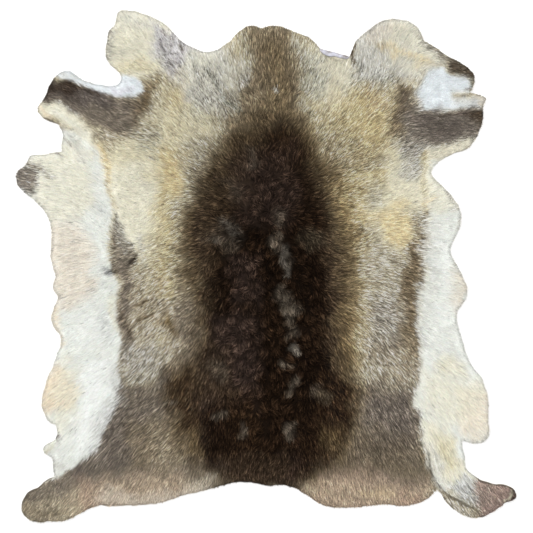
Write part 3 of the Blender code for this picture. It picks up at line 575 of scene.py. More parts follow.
    Patch("slate", 3, 0.7, 0.18, "19,11 25,10 25,3 20,4"),
    Patch("slate", 4, 0.5, 0.12, "18,18 24,14 23,0 23,-10 18,-8"),
    Patch("ash", 4, 0.4, 0.6, "25,5 32,4 31,-6 25,-4"),
    Patch("honey", 4, 0.4, 0.7, "19.6,8 24,6 24,-22 19,-22"),
    Patch("ash", 5, 0.7, 0.75, "25,-5 31,-5 31,-17 25,-17"),
    Patch("smoke", 5, 0.6, 0.8, "25,-7 32,-8 33,-24 25,-24"),
    Patch("taupe", 5, 0.6, 0.9, "26,-17 35,-15 36,-29 26,-28"),
    Patch("sand", 5, 0.5, 0.8, "21,4 31,4 31,-7 21,-7"),
    Streak("umber", 0.2, 0.6, 0.7, 0.7, "19.6,-9.2 22.6,-10"),
    Streak("olive", 1.6, 4, 0.6, 0.8, "19,14 19.6,4 19,-8 18.6,-20"),
    Patch("bark", 5, 0.6, 0.85, "14,-8 20,-10 21,-24 16,-26"),
    # The belly line on the right.
    Streak("ochre", 0.4, 1.2, 0.9, 0.9, "37.2,26.6 37,22 37.2,18 37.2,12"),
    Streak("drab", 0.2, 0.8, 0.8, 0.8, "37.3,26.4 37.1,22.4"),
    Streak("straw", 1, 2.4, 0.6, 0.8, "36.6,25 36.6,18"),
    Patch("drab", 4, 1, 0.95, "36.4,11.6 37.2,8 37.4,3 36.4,-3 35.8,-9 35.4,-14 35.6,-20 33,-24 30.4,-19 "
          "31.2,-10 32,-3 33,4 35,8"),
    Patch("bark", 3.6, 0.65, 0.95, "33.6,4 36,4 35,-6 34.4,-16 32.6,-16 33,-6"),
    Streak("straw", 0.6, 1.8, 0.8, 0.8, "37.8,1 37,-5 36.4,-11 36.4,-15"),
    Streak("olive", 0.3, 0.8, 0.5, 0.6, "36.4,-3 36,-5"),
    # Right belly panel and hind leg.
    Patch("milk", 2.4, 1, 1, "38.6,24 38.2,21 38,16 37.4,12 37.6,8 38,4 37.4,0 36.4,-4 35.7,-9 35.5,-14 "
          "35.9,-19 36,-22 35.4,-25.6 34.7,-30 35.6,-34 36.6,-37.6 37.5,-41 38.4,-44 39.2,-47.6 40.4,-50.4 "
          "42,-52.4 45,-53 48,-50 48,-46 62,-44 62,24"),
    Patch("ivory", 4, 0.8, 0.9, "37,23 42,22 46,15 41,12 37.4,12"),
    Streak("gold", 0.4, 1.2, 0.6, 0.7, "39,16 37,14.6"),
    Streak("ash", 0.3, 0.9, 0.8, 0.8, "40,20.4 42.6,17.2 44.4,14.4"),
    Streak("smoke", 0.2, 0.7, 0.8, 0.7, "43.2,13 44.8,13.6"),
    # A pinkish lobe at the rim with painted shade on it, and painted shade along its edge.
    Streak("blush", 0.7, 1.8, 0.8, 0.8, "45,-1.6 46.6,-5 45.6,-8.6"),
    Streak("fawn", 0.1, 0.6, 0.8, 0.8, "43.2,2.8 45.2,-1.4 46.8,-6 45.5,-9 44.4,-10.6"),
    Streak("fawn", 0.2, 0.8, 0.6, 0.7, "44,16 45.5,12.4 45,8"),
    Streak("steel", 0.6, 1.8, 0.5, 0.5, "38.4,2 40,-1"),
    Patch("pearl", 3, 0.45, 0.9, "37,12 39.4,10 39,-6 38,-20 36,-20 36.6,-4"),
    Patch("blush", 3, 0.6, 0.9, "42.6,1 46.6,-3 46.8,-8 44,-12 42,-8"),
    Patch("snow", 3, 0.6, 0.9, "40,6 43,4 42.4,-12 40,-14"),
    Streak("steel", 0.6, 1.8, 0.5, 0.5, "36.8,-15.6 38,-18"),
    Patch("cream", 4, 0.7, 0.9, "40,-21 45,-22 47,-26 41,-26"),
    Patch("peach", 4, 0.6, 0.9, "44,-29 54,-29 54,-41 46,-40"),
    Patch("ivory", 5, 0.8, 0.9, "36.6,-25 52,-28 48,-34 42,-38 37,-33"),
    Streak("ash", 0.2, 0.8, 0.6, 0.6, "52.2,-38.6 51,-41 46.6,-40.8"),
    Patch("ivory", 3, 1, 1, "37,-36 42,-38 44,-43 48,-49 44,-52 40,-48 38,-42"),
    Patch("cream", 3, 0.9, 0.9, "39.4,-40 43,-41 44,-46 42,-48 40,-45"),
    Streak("straw", 0.8, 2.4, 0.6, 0.8, "41,-42.6 42.4,-46.4"),
    Streak("pearl", 0.7, 2, 0.7, 0.7, "39,-41 40,-46 41.8,-50"),
    Patch("steel", 3, 0.85, 0.85, "43.6,-51.4 47,-49.6 51,-51 50.6,-56 45,-54.6"),
    Patch("clay", 2.4, 1, 0.95, "48.6,-48 52,-50 60,-51 60,-56 54,-59 48.6,-58.6 49,-54"),
    Patch("smoke", 2, 0.5, 0.5, "48.6,-51 52,-51 52.4,-56 49,-56"),
    Patch("umber", 1.2, 0.8, 0.85, "57.2,-51 60,-52 60,-55.6 57.4,-54.6"),
    Streak("cream", 0.2, 0.5, 0.9, 0.95, "55.2,-55.2 57,-54.2 57.5,-52.4"),
    Patch("fawn", 1.2, 1, 1, "39.6,-51.8 43,-54 46.4,-55.8 48.8,-57.4 49.6,-61 42,-59"),
    Patch("ash", 2, 0.6, 0.6, "41,-53.6 46,-56 49,-58 47,-59 42,-56"),
    Streak("pitch", 0.2, 0.5, 0.8, 0.9, "38.1,-43.4 38.5,-48 39.7,-50.3 43.1,-53.9 49.1,-57.1 50.4,-59"),
    Streak("bark", 0.6, 1.6, 0.7, 0.7, "36.8,-43.4 37.6,-47 38.4,-50"),
    # Right haunch and rump.
    Patch("fawn", 5, 0.7, 0.7, "26,-20 33,-21 33.6,-27 27,-27"),
    Patch("slate", 5, 0.6, 0.85, "24,-30 33,-30 35.6,-36 33,-42 25,-40"),
    Patch("drab", 5, 0.7, 0.7, "20,-36 25,-38 26,-47 16,-48 16,-42"),
    Patch("drab", 5, 0.9, 0.9, "18,-42 38,-44 38,-50 28,-48.6 18,-50"),
    Patch("haze", 5, 0.8, 0.9, "18,-38 34,-38 37,-46 30,-46 18,-47"),
    Patch("bark", 5, 0.25, 0.9, "18,-39 33,-40 33,-47 18,-47"),
    Patch("rose", 8, 1, 0.95, "4,-52 12,-49 21,-48 29,-50 39,-52 38,-64 4,-64"),
    Patch("sand", 5, 0.3, 0.7, "10,-51 22,-50 30,-53 30,-57 12,-57"),
    Streak("sand", 0.6, 2, 0.8, 0.7, "8,-51.6 11,-52.6"),
    Streak("gold", 0.8, 3, 0.4, 0.6, "22,-53 29,-53"),
    Streak("bark", 0.4, 1.4, 0.5, 0.6, "33,-50.6 33.6,-55"),
    # The saddle along the back: an olive fringe, a dark brown ground, and smoky tufts.
    Patch("ochre", 6, 0.4, 0.5, "12,28 22,20 22,6 21,-12 20,-22 16,-24 14,10"),
    Patch("drab", 7, 0.7, 0.85, "-4,35 -11,30 -18,18 -20.6,4 -12,4 -4,20"),
    Patch("olive", 8, 0.9, 0.9, "-3,34 7,34 14,28 19,20 21,8 21,-4 19.6,-14 21,-24 22,-30 21,-38 18,-45 "
          "11,-51 -9,-51 -15,-47 -20,-41 -23,-29 -17,-16 -18,-8 -21.6,1 -20.6,10 -16,19 -11,27"),
    Patch("haze", 5, 0.4, 0.7, "-21,-9 -15,-8 -12,-24 -20,-25"),
    Patch("dusk", 8, 1, 1, "-1,35 5,34 9,30 13.4,24 16,14 19,4 19,-4 17,-14 18,-24 18.6,-30 17,-41 13,-48 "
          "6,-53 -8,-52.6 -15.6,-47 -20,-40 -20,-28 -15,-14 -17.4,-5 -19.6,3 -18.6,10 -16,20 -9,28"),
    Patch("soot", 6, 1, 1, "1,32 6,31 9,26 12,18 14,8 14.6,-4 13.6,-16 15.6,-26 13.6,-36 13,-44 6,-51 "
          "-6,-51.6 -12.6,-46 -16,-40 -15,-28 -12,-14 -13,-6 -13,4 -10.6,14 -6,22 -2,26"),
    Patch("umber", 5, 0.7, 0.9, "1,35 5,33 8,26 6,20 1,22 0,28"),
    Patch("dusk", 6, 0.6, 0.9, "-11,24 -3,28 -2,14 -10,12"),
    Patch("pitch", 5, 0.6, 0.9, "7,8 12.6,6 13.6,-4 12.6,-12 6,-11"),
    Patch("plum", 5, 0.55, 0.85, "-9,25 6,29 8,16 6,10 -7,10"),
    Patch("plum", 5, 0.8, 0.85, "-12,-11 -3,-11 -2,-33 -15,-32 -14,-24"),
    Patch("plum", 4, 0.65, 0.85, "-9,2 -2,2 -2,-9 -8,-8"),
    Patch("plum", 5, 0.5, 0.85, "-14,-46 8,-44 8,-51 -10,-51"),
    Patch("pitch", 3, 0.7, 0.9, "-6.4,9 -1,9 -1,5 -6,4.6"),
    Patch("pitch", 3, 0.6, 0.9, "-1,3 2,3 2,-9 -1,-9"),
    Patch("pitch", 5, 0.8, 0.9, "8,-20 16,-22 15,-34 8,-36"),
    Patch("pitch", 4, 0.5, 0.9, "-15,-3 -8,-3 -8,-12 -14,-11"),
    Patch("pitch", 4, 0.6, 0.9, "-16,-35 -8,-34 -8,-44 -15,-44"),
    Patch("umber", 5, 0.6, 0.9, "-12,-28 -2,-28 -2,-43 -8,-43"),
    Patch("umber", 5, 1, 1, "12,-25 19,-26 20.6,-36 17,-42 13,-42"),
    Patch("soot", 5, 0.7, 0.9, "12,-24 18,-26 18,-37 12,-37"),
    Patch("olive", 4, 0.35, 0.9, "13,-38 17,-37 17,-43 13,-44"),
    Streak("drab", 0.6, 2.4, 0.4, 0.8, "12.6,-30 14.6,-31"),
    Patch("umber", 4, 0.8, 0.9, "12,-44 17,-43 16,-47 11,-48"),
    Patch("olive", 3, 0.4, 0.8, "-20,-36 -16.6,-36 -16,-43 -19,-43"),
    Streak("drab", 0.8, 2.6, 0.4, 0.8, "-18,-29.6 -17.8,-34"),
    Patch("umber", 4, 0.85, 0.9, "-23.6,-27 -18,-25 -15,-32 -16,-37 -20,-38 -23,-33"),
    Patch("soot", 5, 0.4, 0.9, "-14,-30 10,-30 10,-47 -12,-47"),
    Patch("dusk", 5, 0.6, 0.9, "-11,-45 5,-44 6,-52 -10,-52"),
    Patch("dusk", 6, 0.7, 0.9, "-17,-18 -9,-20 -8,-30 -15,-31"),
    Streak("haze", 1.6, 4, 0.3, 0.9, "-12.4,7 -9,4.4"),
    Streak("smoke", 0.5, 2.2, 0.6, 0.85, "-12.6,6.8 -11.8,6"),
    Streak("smoke", 0.8, 3.6, 0.6, 0.6, "-10.4,10 -8,8.6 -6.8,7"),
    Streak("haze", 1.4, 4, 0.3, 0.9, "-9.4,19.4 -7.4,18"),
    Streak("haze", 0.8, 3, 0.45, 0.9, "-4,27 -3.8,23.6"),
    Streak("haze", 0.6, 2.2, 0.5, 0.9, "3.2,13 3,10.6"),
    Streak("haze", 0.8, 2.6, 0.6, 0.9, "0.6,6 2.2,5 2.6,7.6"),
    Streak("smoke", 0.5, 2.2, 0.85, 0.9, "4,4.4 4.6,0.6 4.8,-2.4"),
    Streak("haze", 1, 3.4, 0.85, 0.8, "3.2,-6.2 4.6,-7.6 5.8,-10.4"),
    Streak("haze", 0.8, 3, 0.45, 0.9, "5.4,-11 5.8,-15.4"),
    Streak("smoke", 0.5, 1.6, 0.8, 0.9, "6,-19 7,-20.4"),
    Streak("haze", 0.6, 2, 0.9, 0.9, "3.6,-23 4.8,-23.6"),
    Streak("haze", 0.5, 1.6, 0.7, 0.9, "7,-26.6 4.6,-29.6"),
    Streak("haze", 0.5, 2, 0.7, 0.9, "-6,-37.6 -5.6,-39.6"),
    Streak("haze", 0.6, 2.2, 0.8, 0.9, "5.6,-37 5.4,-40"),
    Streak("haze", 0.6, 2.2, 0.6, 0.9, "-11.6,-35 -9.6,-34.6"),
    Streak("haze", 0.8, 2.6, 0.35, 0.9, "12,-28.4 12,-30"),
    Streak("drab", 1.2, 3.6, 0.3, 0.8, "9.4,6.4 13,5.6"),
    Streak("haze", 1.2, 3.4, 0.4, 0.9, "-12.4,-23 -11,-24.4"),
]


def line_points(line_cm):
    """The points of a line that is written as x,y x,y."""
    return np.array([point.split(",") for point in line_cm.split()], float)


def linear(display):
    """Light of a display colour: (c + 0.055) / 1.055 to the power 2.4, from 0 to 1."""
    return ((np.array(display) / 255 + 0.055) / 1.055) ** 2.4


def paint(points, rng):
    """Colour at each point. From the ground up, each marking covers what lies under it, fully inside and
    fading by a smooth step over its soft edge. Its share of the points, drawn at random, takes it at its
    strength, and the rest take half that share of it."""
    colour = np.tile(linear(PIGMENTS[GROUND]), (len(points), 1))
    places = points / CM
    stray = np.column_stack([
        soft_noise(points, COARSE_GRAIN, seed) * COARSE_WANDER_CM
        + soft_noise(points, FINE_GRAIN, seed + 1) * FINE_WANDER_CM for seed in (41, 43)])
    for marking in MARKINGS:
        line = line_points(marking.line_cm)
        width = marking.width_cm if isinstance(marking, Streak) else 0
        reach = width + marking.soft_cm + WANDER_ROOM_CM
        close = (places > line.min(axis=0) - reach) & (places < line.max(axis=0) + reach)
        near = np.flatnonzero(close.all(axis=1))
        moved = places[near] + stray[near] * min(marking.soft_cm / FREE_SOFT_CM, 1)
        inward = width - line_distance(moved, line) if width else depth_inside(moved, line)
        cover = np.clip(inward / marking.soft_cm + 0.5, 0, 1)
        cover = cover * cover * (3 - 2 * cover) * marking.strength
        cover = cover * np.where(rng.random(len(near)) < marking.share, 1, marking.share / 2)
        colour[near] += cover[:, None] * (linear(PIGMENTS[marking.pigment]) - colour[near])
    return colour


def contrast(colour):
    """How much hair of each colour varies from wisp to wisp, read off a line through CONTRAST: dark hair
    varies the most, and white hair hardly at all."""
    return np.interp(colour @ LIGHTNESS, *np.transpose(CONTRAST))


def tinted(name, roughness, gloss, mottles, depth):
    """Hair or wool that takes its colour from the piece's tint, lighter and darker by a depth in a number of
    mottles a metre."""
    material, nodes, links, surface = new_material(name, roughness, gloss)
    tint = nodes.new("ShaderNodeVertexColor")
    tint.layer_name = "tint"
    place = nodes.new("ShaderNodeTexCoord")
    mottle = new_node(nodes, "TexNoise", scale=mottles, detail=3)
    strength = new_node(nodes, "MapRange", from_min=0.3, from_max=0.7, to_min=1 - depth, to_max=1 + depth)
    scaled = nodes.new("ShaderNodeVectorMath")
    scaled.operation = "SCALE"
    links.new(place.outputs["Object"], mottle.inputs["Vector"])
    links.new(mottle.outputs["Fac"], strength.inputs["Value"])
    links.new(tint.outputs["Color"], scaled.inputs[0])
    links.new(strength.outputs["Result"], scaled.inputs["Scale"])
    links.new(scaled.outputs["Vector"], surface.inputs["Base Color"])
    return material


def set_tint(made, colour):
    """Gives each point of a piece its colour."""
    layer = made.data.color_attributes.new("tint", "FLOAT_COLOR", "POINT")
    opaque = np.column_stack([colour, np.ones(len(colour))])
    layer.data.foreach_set("color", opaque.astype(np.float32).ravel())


depth_map = top_map - floor_map
upper, upper_faces = filled(cut, honeycomb(WOOL_STEP, CUT_MARGIN * WOOL_STEP))
under, under_faces = filled(cut, honeycomb(WOOL_UNDER_STEP, UNDER_MARGIN * WOOL_UNDER_STEP))
lump = WOOL_LUMP * soft_noise(upper, LUMP_GRAIN, seed=21)
lump = lump * np.clip(read_map(room_map, upper) / LUMP_FADE, 0, 1)
skin_top = read_map(floor_map, upper) + SKIN_THICKNESS
upper_height = skin_top + lump + WOOL_DEPTH * np.maximum(read_map(depth_map, upper) - SKIN_THICKNESS, 0)
under_height = read_map(floor_map, under) + SKIN_THICKNESS + WOOL_LIFT
top_rim = np.arange(len(cut))
ahead = np.roll(top_rim, -1)
under_rim = top_rim + len(upper)
rim_wall = np.vstack([np.column_stack([under_rim, ahead + len(upper), ahead]),
                      np.column_stack([under_rim, ahead, top_rim])])
wool = piece("undercoat",
             np.vstack([np.column_stack([upper, upper_height]), np.column_stack([under, under_height])]),
             np.vstack([upper_faces, under_faces[:, ::-1] + len(upper), rim_wall]),
             tinted("wool", roughness=0.95, gloss=0.05, mottles=WOOL_MOTTLES, depth=0.3))
wool_colour_and_shade = paint(np.vstack([upper, under]), np.random.default_rng(5))
# The wool is darkened, most under dark hair: painted shade in the gaps between the hairs.
wool_colour_and_shade *= 1 - WOOL_SHADE * np.minimum(contrast(wool_colour_and_shade), 1)[:, None]
# Painted shade along the cut edge, over the dark cut leather.
wool_colour_and_shade[top_rim] *= 1 - RIM_SHADE
wool_colour_and_shade[under_rim] *= 1 - RIM_SHADE
set_tint(wool, wool_colour_and_shade)
wool.parent = skin

# The hair ------------------------------------------------------------------------------------------------
# Hollow reindeer hair in wisps that share a root and meet at their tips: plush on the saddle, long and silky
# on the belly, short on the legs. From the middle of the back it lies outwards all round, as it grew.

WISP_STEP = 2.6 * MM            # spacing of the wisps
ROOT_STRAY = 0.45               # most that a root lies off its place, as a share of that
OUTER_PLACES = -0.5 * MM        # those places begin a little outside the cut
ROOT_MARGIN = 0.3 * MM          # and the roots this far inside the haired skin
CURL_MARGIN = 2.3               # radii of the curled edge that hair keeps clear of beside it
STRANDS = 4                     # hairs modelled in each wisp
ROOT_SPREAD = 0.8 * MM
TIP_SPREAD = 0.4 * MM
OVERHANG = (-1.5 * MM, 3.0 * MM)        # how far tips may hang over the cut
SHORTEST = 0.2                  # share of its run that a wisp keeps at the cut
LEAST_LOSS = 0.1 * MM           # keeps a division from zero
WISP_RUN = (0.75, 1.2)          # least and most run of a wisp, as a share of its piece's
HAIR_RUN = (0.7, 1.15)          # and of a hair, as a share of its wisp's
HAIR_WIDTH = 0.95 * MM          # of a hair where it leaves the wool
WIDTH_SHARE = (0.7, 1.3)        # least and most of that
HAIR_TWIST = 0.35               # how far a hair's two sides stand at unlike heights, as a share of its width
HAIR_START = 0.58               # height at which it leaves the wool, as a share of the coat's
TIP_RISE_MM = (-1.0, 0.5)       # how far a hair's tip stands over its wisp's
HAIR_MOTTLES = 350              # mottles in a metre of it
HAIR_CORNERS = np.array([(0.1, 0.1), (0.5, 0.9), (0.9, 0.1)])   # of a hair in its cell of the map

# Where the coat is no deeper than SLEEK_MM the hair is sleek, and from FLUFFY_MM on, on the saddle, fluffy.
SLEEK_MM, FLUFFY_MM = 17, 26
TUFT_PITCH = 2.4 * CM           # the saddle's fluffy tufts
TUFT_PULL = 0.35                # share of the way to a tuft's middle that fluffy tips are drawn
TUFT_CROWN = 4.0 * MM           # how far a tuft's middle stands over its border
CROWN_MIDDLE, CROWN_FALL, CROWN_LUCK = 0.5, 2.5, 0.4       # parts of that: middle, border, luck
LOCK_PITCH = 0.7 * CM           # locks of sleek hair
LOCK_PULL = 0.15
SWELL_GRAIN, SWELL_MM = 1.6 * CM, 0.5   # soft swells of the whole coat
OWN_RISE_MM = (0.3, 0.4)        # spread of a wisp's own rise: on sleek hair, and how much more on fluffy

# How far wisps turn aside from their lie, in radians: on sleek hair, and how much more on fluffy hair. The
# first two are smooth noises with their grain, and the last is each wisp's own.
TURNS = [(3.2 * CM, 0.10, 1.1), (1.2 * CM, 0.08, 0.6)]
OWN_TURN = (0.10, 0.3)

# Tones multiply the colour. They spread by TONE_SPREAD where hair varies in full, times a weight for streaks,
# for wisps and for single hairs.
# Hair is darker at its root, partly its own banding and partly painted shade down in the coat, and paler at
# its tip.
ROOT_TONE_AND_SHADE, TIP_TONE = 0.48, 2.15
SADDLE_TIP_SHEEN = 1.03              # the saddle's tips are paler: a painted sheen
STRAY_SHARE, STRAY_TONE = 0.11, 0.5     # dark wisps among the others
TONE_SPREAD = 0.52
STREAK_WEIGHT, WISP_WEIGHT, HAIR_WEIGHT = 0.85, 0.25, 0.4
MIDDLE_TONE, TUFT_BORDER_SHADE, LUCK_TONE = 0.35, 1.4, 0.35        # of a fluffy tuft: its fall to the border is painted shade in the crevices between tufts
HUE_SPREAD = 0.03               # of red, green and blue from hair to hair
LIGHTEST = 0.95                 # no hair throws back more light than this
STREAK_GRAIN = 1.5 * MM         # width of a streak of like-coloured hair
STREAK_REACH = 4.0 * MM         # half of its length
STREAK_SAMPLES = 7
RIM_SHADE_BAND = 3.0 * MM             # along the cut the tips are darker: painted shade of the cut edge
RIM_SHADE_TONE = 0.5
TINT_AT, TINT_RAGGED = 0.6, 0.2         # share of its run at which a wisp takes its colour, and its spread
TINT_FURTHEST = 1.2
TINT_STRAY_CM = 0.1             # and how far aside

# Where the right hind leg is folded, and its tip, in centimetres, and how far from there the hair stops. A
# wisp is tried at these shares of its way, and stops FOLD_BACK before the first that is too near, counted
# from its root.
FOLDS = ("38.1,-43.4 38.3,-46 38.5,-48 39.7,-50.3 41.2,-52.6 43.1,-53.9 46.3,-55.4 49.1,-57.1 50.4,-59",
         "57.5,-52.4 57,-54.2 55.6,-55.6")
FOLD_GAP = 0.13
FOLD_TRIES = (1, 0.75, 0.5, 0.25)
FOLD_BACK = 0.2

WITHERS = (0, 12)               # the hair lies away from here, in centimetres, but for these places
WITHERS_SPOT = 0.1              # nearer than this it is pulled less and less
COMB_PULL = 0.4                 # the pull outwards, where a stroke of the comb pulls by 1
COMB_REACH = 4.5                # how far off, in centimetres, a stroke is felt

# Where the hair turns: place in centimetres, and where its tips point, in degrees from +X to +Y.
STROKES = [
    # Left chest flap, foreleg and shoulder.
    (-35, 51, 180), (-34, 57, 135), (-23, 53, 110), (-25, 48, 140), (-29, 47, 165),
    (-33, 36, 165), (-46, 33, 140), (-41, 27, 125), (-30, 30, 170),
    # Left belly, flank and haunch.
    (-39, 14, 140), (-35, 10, 125), (-26, 12, 235), (-20, 12, 205), (-32, 1, 205), (-28, -7, 230),
    (-20, -6, 200), (-42, -13, 200), (-42, -24, 200), (-30, -36, 215), (-24, -40, 210), (-25, -49, 240),
    # Right chest flap and foreleg.
    (21, 53, 100), (26, 51, 115), (33, 55, 55), (40, 51, 320), (44, 47, 335), (37, 42, 65), (43, 40, 5),
    (38, 37, 335), (42, 35, 350), (48, 34, 350),
    # Right flank, belly and hind leg.
    (31, 20, 35), (22, 6, 35), (27, 0, 350), (20, -3, 30), (20, -10, 330), (28, -9, 340), (40, 17, 30),
    (41, -2, 350), (44, -17, 340), (41, -46, 290), (25, -50, 280),
]

# Pieces of the coat: how much of the hair shows beyond the wool, its gloss, the roughness of that, and how
# much its hairs differ.
Zone = namedtuple("Zone", "name hair_mm gloss roughness liveliness")
ZONES = [
    Zone("saddle", 9, 0.03, 0.75, 1.0), Zone("neck", 10, 0.12, 0.7, 1.1),
    Zone("left_flank", 10, 0.12, 0.7, 1.1), Zone("right_flank", 10, 0.12, 0.7, 1.2),
    Zone("left_shoulder", 10, 0.12, 0.7, 1), Zone("right_shoulder", 10, 0.12, 0.7, 1),
    Zone("left_belly", 16, 0.2, 0.6, 1.2), Zone("right_belly", 16, 0.2, 0.6, 1.2),
    Zone("haunches", 9, 0.12, 0.7, 0.55), Zone("legs", 8, 0.15, 0.65, 0.75),
]
SADDLE, NECK, LEFT_FLANK, LEFT_SHOULDER, LEFT_BELLY, HAUNCHES, LEGS = 0, 1, 2, 4, 6, 8, 9

# Their borders, in centimetres aside from the back or along it, and how far wisps stray over them.
SADDLE_SIDE, NECK_SIDE, BELLY_SIDE = 14, 20, 37
NECK_FOOT, SHOULDER_FOOT = 31, 24
FORELEG_FOOT, FORELEG_TOP = 29, 51
HIND_LEG_SIDE, HIND_LEG_TOP = 48, -47
HAUNCH_TOP, HAUNCH_END = -45, 39
RUMP_TOP, RUMP_SIDE = -50, 10
ZONE_STRAY_CM = 0.8


def zone_numbers(points):
    """Which piece of the coat each wisp belongs to, from its place on the hide. Right is left plus one."""
    x, y = (points / CM).T
    aside, right = np.abs(x), (x > 0).astype(int)
    number = np.where(aside < SADDLE_SIDE, SADDLE, LEFT_FLANK + right)
    number = np.where(aside > BELLY_SIDE, LEFT_BELLY + right, number)
    number = np.where((aside > NECK_SIDE) & (y > SHOULDER_FOOT), LEFT_SHOULDER + right, number)
    number = np.where((aside <= NECK_SIDE) & (y > NECK_FOOT), NECK, number)
    haunch = (y < HAUNCH_TOP) & ((aside > RUMP_SIDE) | (y < RUMP_TOP)) & (x < HAUNCH_END)
    foreleg = (aside > BELLY_SIDE) & (y > FORELEG_FOOT) & (y < FORELEG_TOP)
    hind_leg = (aside > HIND_LEG_SIDE) & (y < HIND_LEG_TOP)
    return np.where(foreleg | hind_leg, LEGS, np.where(haunch, HAUNCHES, number))


def hair_room(points):
    """How far inside the haired part of the skin each point lies: inside the cut, less the roll's width."""
    return read_map(room_map, points) - CURL_MARGIN * curl_radius(points)


def heading(points):
    """Way the hair points: straight away from the withers, pulled by each stroke of the comb with a weight
    of exp(-(distance / reach) squared)."""
    places = points / CM
    way = places - WITHERS
    way *= COMB_PULL / np.maximum(np.linalg.norm(way, axis=1, keepdims=True), WITHERS_SPOT)
    for x, y, degrees in STROKES:
        weight = np.exp(-((places - (x, y)) ** 2).sum(axis=1) / COMB_REACH ** 2)
        way += weight[:, None] * (np.cos(np.radians(degrees)), np.sin(np.radians(degrees)))
    return way / np.linalg.norm(way, axis=1, keepdims=True)


def fold_distance(points):
    """Distance to the nearest fold, in centimetres."""
    return np.minimum(*[line_distance(points / CM, line_points(fold)) for fold in FOLDS])


def unfolded(roots, tips):
    """Share of the way to its tip that each wisp may go before it comes within FOLD_GAP of a fold."""
    share = np.ones(len(roots))
    for part in FOLD_TRIES:
        share[fold_distance(roots + (tips - roots) * part) < FOLD_GAP] = part - FOLD_BACK
    return share


def streaks(points, way, seed):
    """Streaks along the lie of the hair, from about -2 to 2: a fine noise averaged along the way at each
    point, over a streak's length, and divided by its spread."""
    total = sum(soft_noise(points + step * STREAK_REACH * way, STREAK_GRAIN, seed)
                for step in np.linspace(-1, 1, STREAK_SAMPLES))
    return total / total.std()


def turned(way, angle):
    """Each vector turned by its own angle, anticlockwise as seen from above."""
    cosine, sine = np.cos(angle), np.sin(angle)
    return np.column_stack([way[:, 0] * cosine - way[:, 1] * sine, way[:, 0] * sine + way[:, 1] * cosine])


def tufts(points, pitch, seed):
    """The nearest tuft to each point: its middle, how far off that is as a share of the pitch, and its luck
    from -1 to 1. There is one tuft in each square of the pitch, anywhere in it."""
    rng = np.random.default_rng(seed)
    places = rng.random((NOISE_KNOTS, NOISE_KNOTS, 2))
    fortunes = rng.uniform(-1, 1, (NOISE_KNOTS, NOISE_KNOTS))
    square = np.floor(points / pitch).astype(int)
    middle, gap, luck = np.zeros_like(points), np.full(len(points), np.inf), np.zeros(len(points))
    for step in np.ndindex(3, 3):
        i, j = (square + step - 1).T
        candidate = (np.column_stack([i, j]) + places[i % NOISE_KNOTS, j % NOISE_KNOTS]) * pitch
        away = np.linalg.norm(candidate - points, axis=1) / pitch
        closer = away < gap
        middle[closer], gap[closer] = candidate[closer], away[closer]
        luck[closer] = fortunes[i % NOISE_KNOTS, j % NOISE_KNOTS][closer]
    return middle, gap, luck


# The roots, and the piece and the fluffiness of each.
rng = np.random.default_rng(17)
roots = honeycomb(WISP_STEP, OUTER_PLACES)
roots = roots + rng.uniform(-ROOT_STRAY, ROOT_STRAY, roots.shape) * WISP_STEP
roots = roots[(hair_room(roots) > ROOT_MARGIN) & (fold_distance(roots) > FOLD_GAP)]
count = len(roots)
fluff = np.clip((read_map(depth_map, roots) / MM - SLEEK_MM) / (FLUFFY_MM - SLEEK_MM), 0, 1)
number = zone_numbers(roots + rng.normal(0, ZONE_STRAY_CM, (count, 2)) * CM)

# The tips: outwards, turned aside, drawn to tufts and locks, and short of the cut and the folds.
run = np.array([zone.hair_mm for zone in ZONES])[number] * MM * rng.uniform(*WISP_RUN, count)
turn = np.zeros(count)
for seed, (grain, sleek, more) in enumerate(TURNS, start=31):
    turn += soft_noise(roots, grain, seed) * (sleek + more * fluff)
turn += rng.normal(0, 1, count) * (OWN_TURN[0] + OWN_TURN[1] * fluff)
lie = turned(heading(roots), turn)
tuft_middle, tuft_gap, tuft_luck = tufts(roots, TUFT_PITCH, seed=51)
lock_middle = tufts(roots, LOCK_PITCH, seed=52)[0]
tips = roots + lie * run[:, None]
tips += ((tuft_middle - roots) * (TUFT_PULL * fluff)[:, None]
         + (lock_middle - roots) * (LOCK_PULL * (1 - fluff))[:, None])
room, beyond = hair_room(roots), hair_room(tips)
overhang = rng.uniform(*OVERHANG, count)
kept = np.clip((room + overhang) / np.maximum(room - beyond, LEAST_LOSS), SHORTEST, 1)
tips = roots + (tips - roots) * kept[:, None]
tips = roots + (tips - roots) * unfolded(roots, tips)[:, None]
crown = CROWN_MIDDLE - tuft_gap ** 2 * CROWN_FALL + CROWN_LUCK * tuft_luck
rise = TUFT_CROWN * fluff * crown + soft_noise(roots, SWELL_GRAIN, seed=33) * SWELL_MM * MM
rise += rng.normal(0, OWN_RISE_MM[0] + OWN_RISE_MM[1] * fluff, count) * MM

# The colours: markings with ragged borders, and on them each wisp's own tone, with painted shade in the
# crevices between tufts and along the cut.
ragged = np.clip(TINT_AT + TINT_RAGGED * streaks(roots, lie, seed=35), 0, TINT_FURTHEST)[:, None]
tint = paint(roots + (tips - roots) * ragged + rng.normal(0, TINT_STRAY_CM, (count, 2)) * CM, rng)
vary = contrast(tint) * np.array([zone.liveliness for zone in ZONES])[number]
spread = vary * TONE_SPREAD
# Fluffy tufts are lighter or darker by luck, and darker towards their borders: painted shade in the crevices.
tuft_tone_and_shade = fluff * (LUCK_TONE * tuft_luck - TUFT_BORDER_SHADE * tuft_gap ** 2 + MIDDLE_TONE)
tone = np.exp(WISP_WEIGHT * rng.normal(0, 1, count) * spread - spread ** 2 / 3 + tuft_tone_and_shade)
tone *= np.where(rng.random(count) < STRAY_SHARE * np.minimum(vary, 1), STRAY_TONE, 1)
# Painted shade of the cut edge on the tips of the wisps near it, some more and some less.
rim = np.clip(1 - hair_room(tips) / RIM_SHADE_BAND, 0, 1) * rng.random(count)

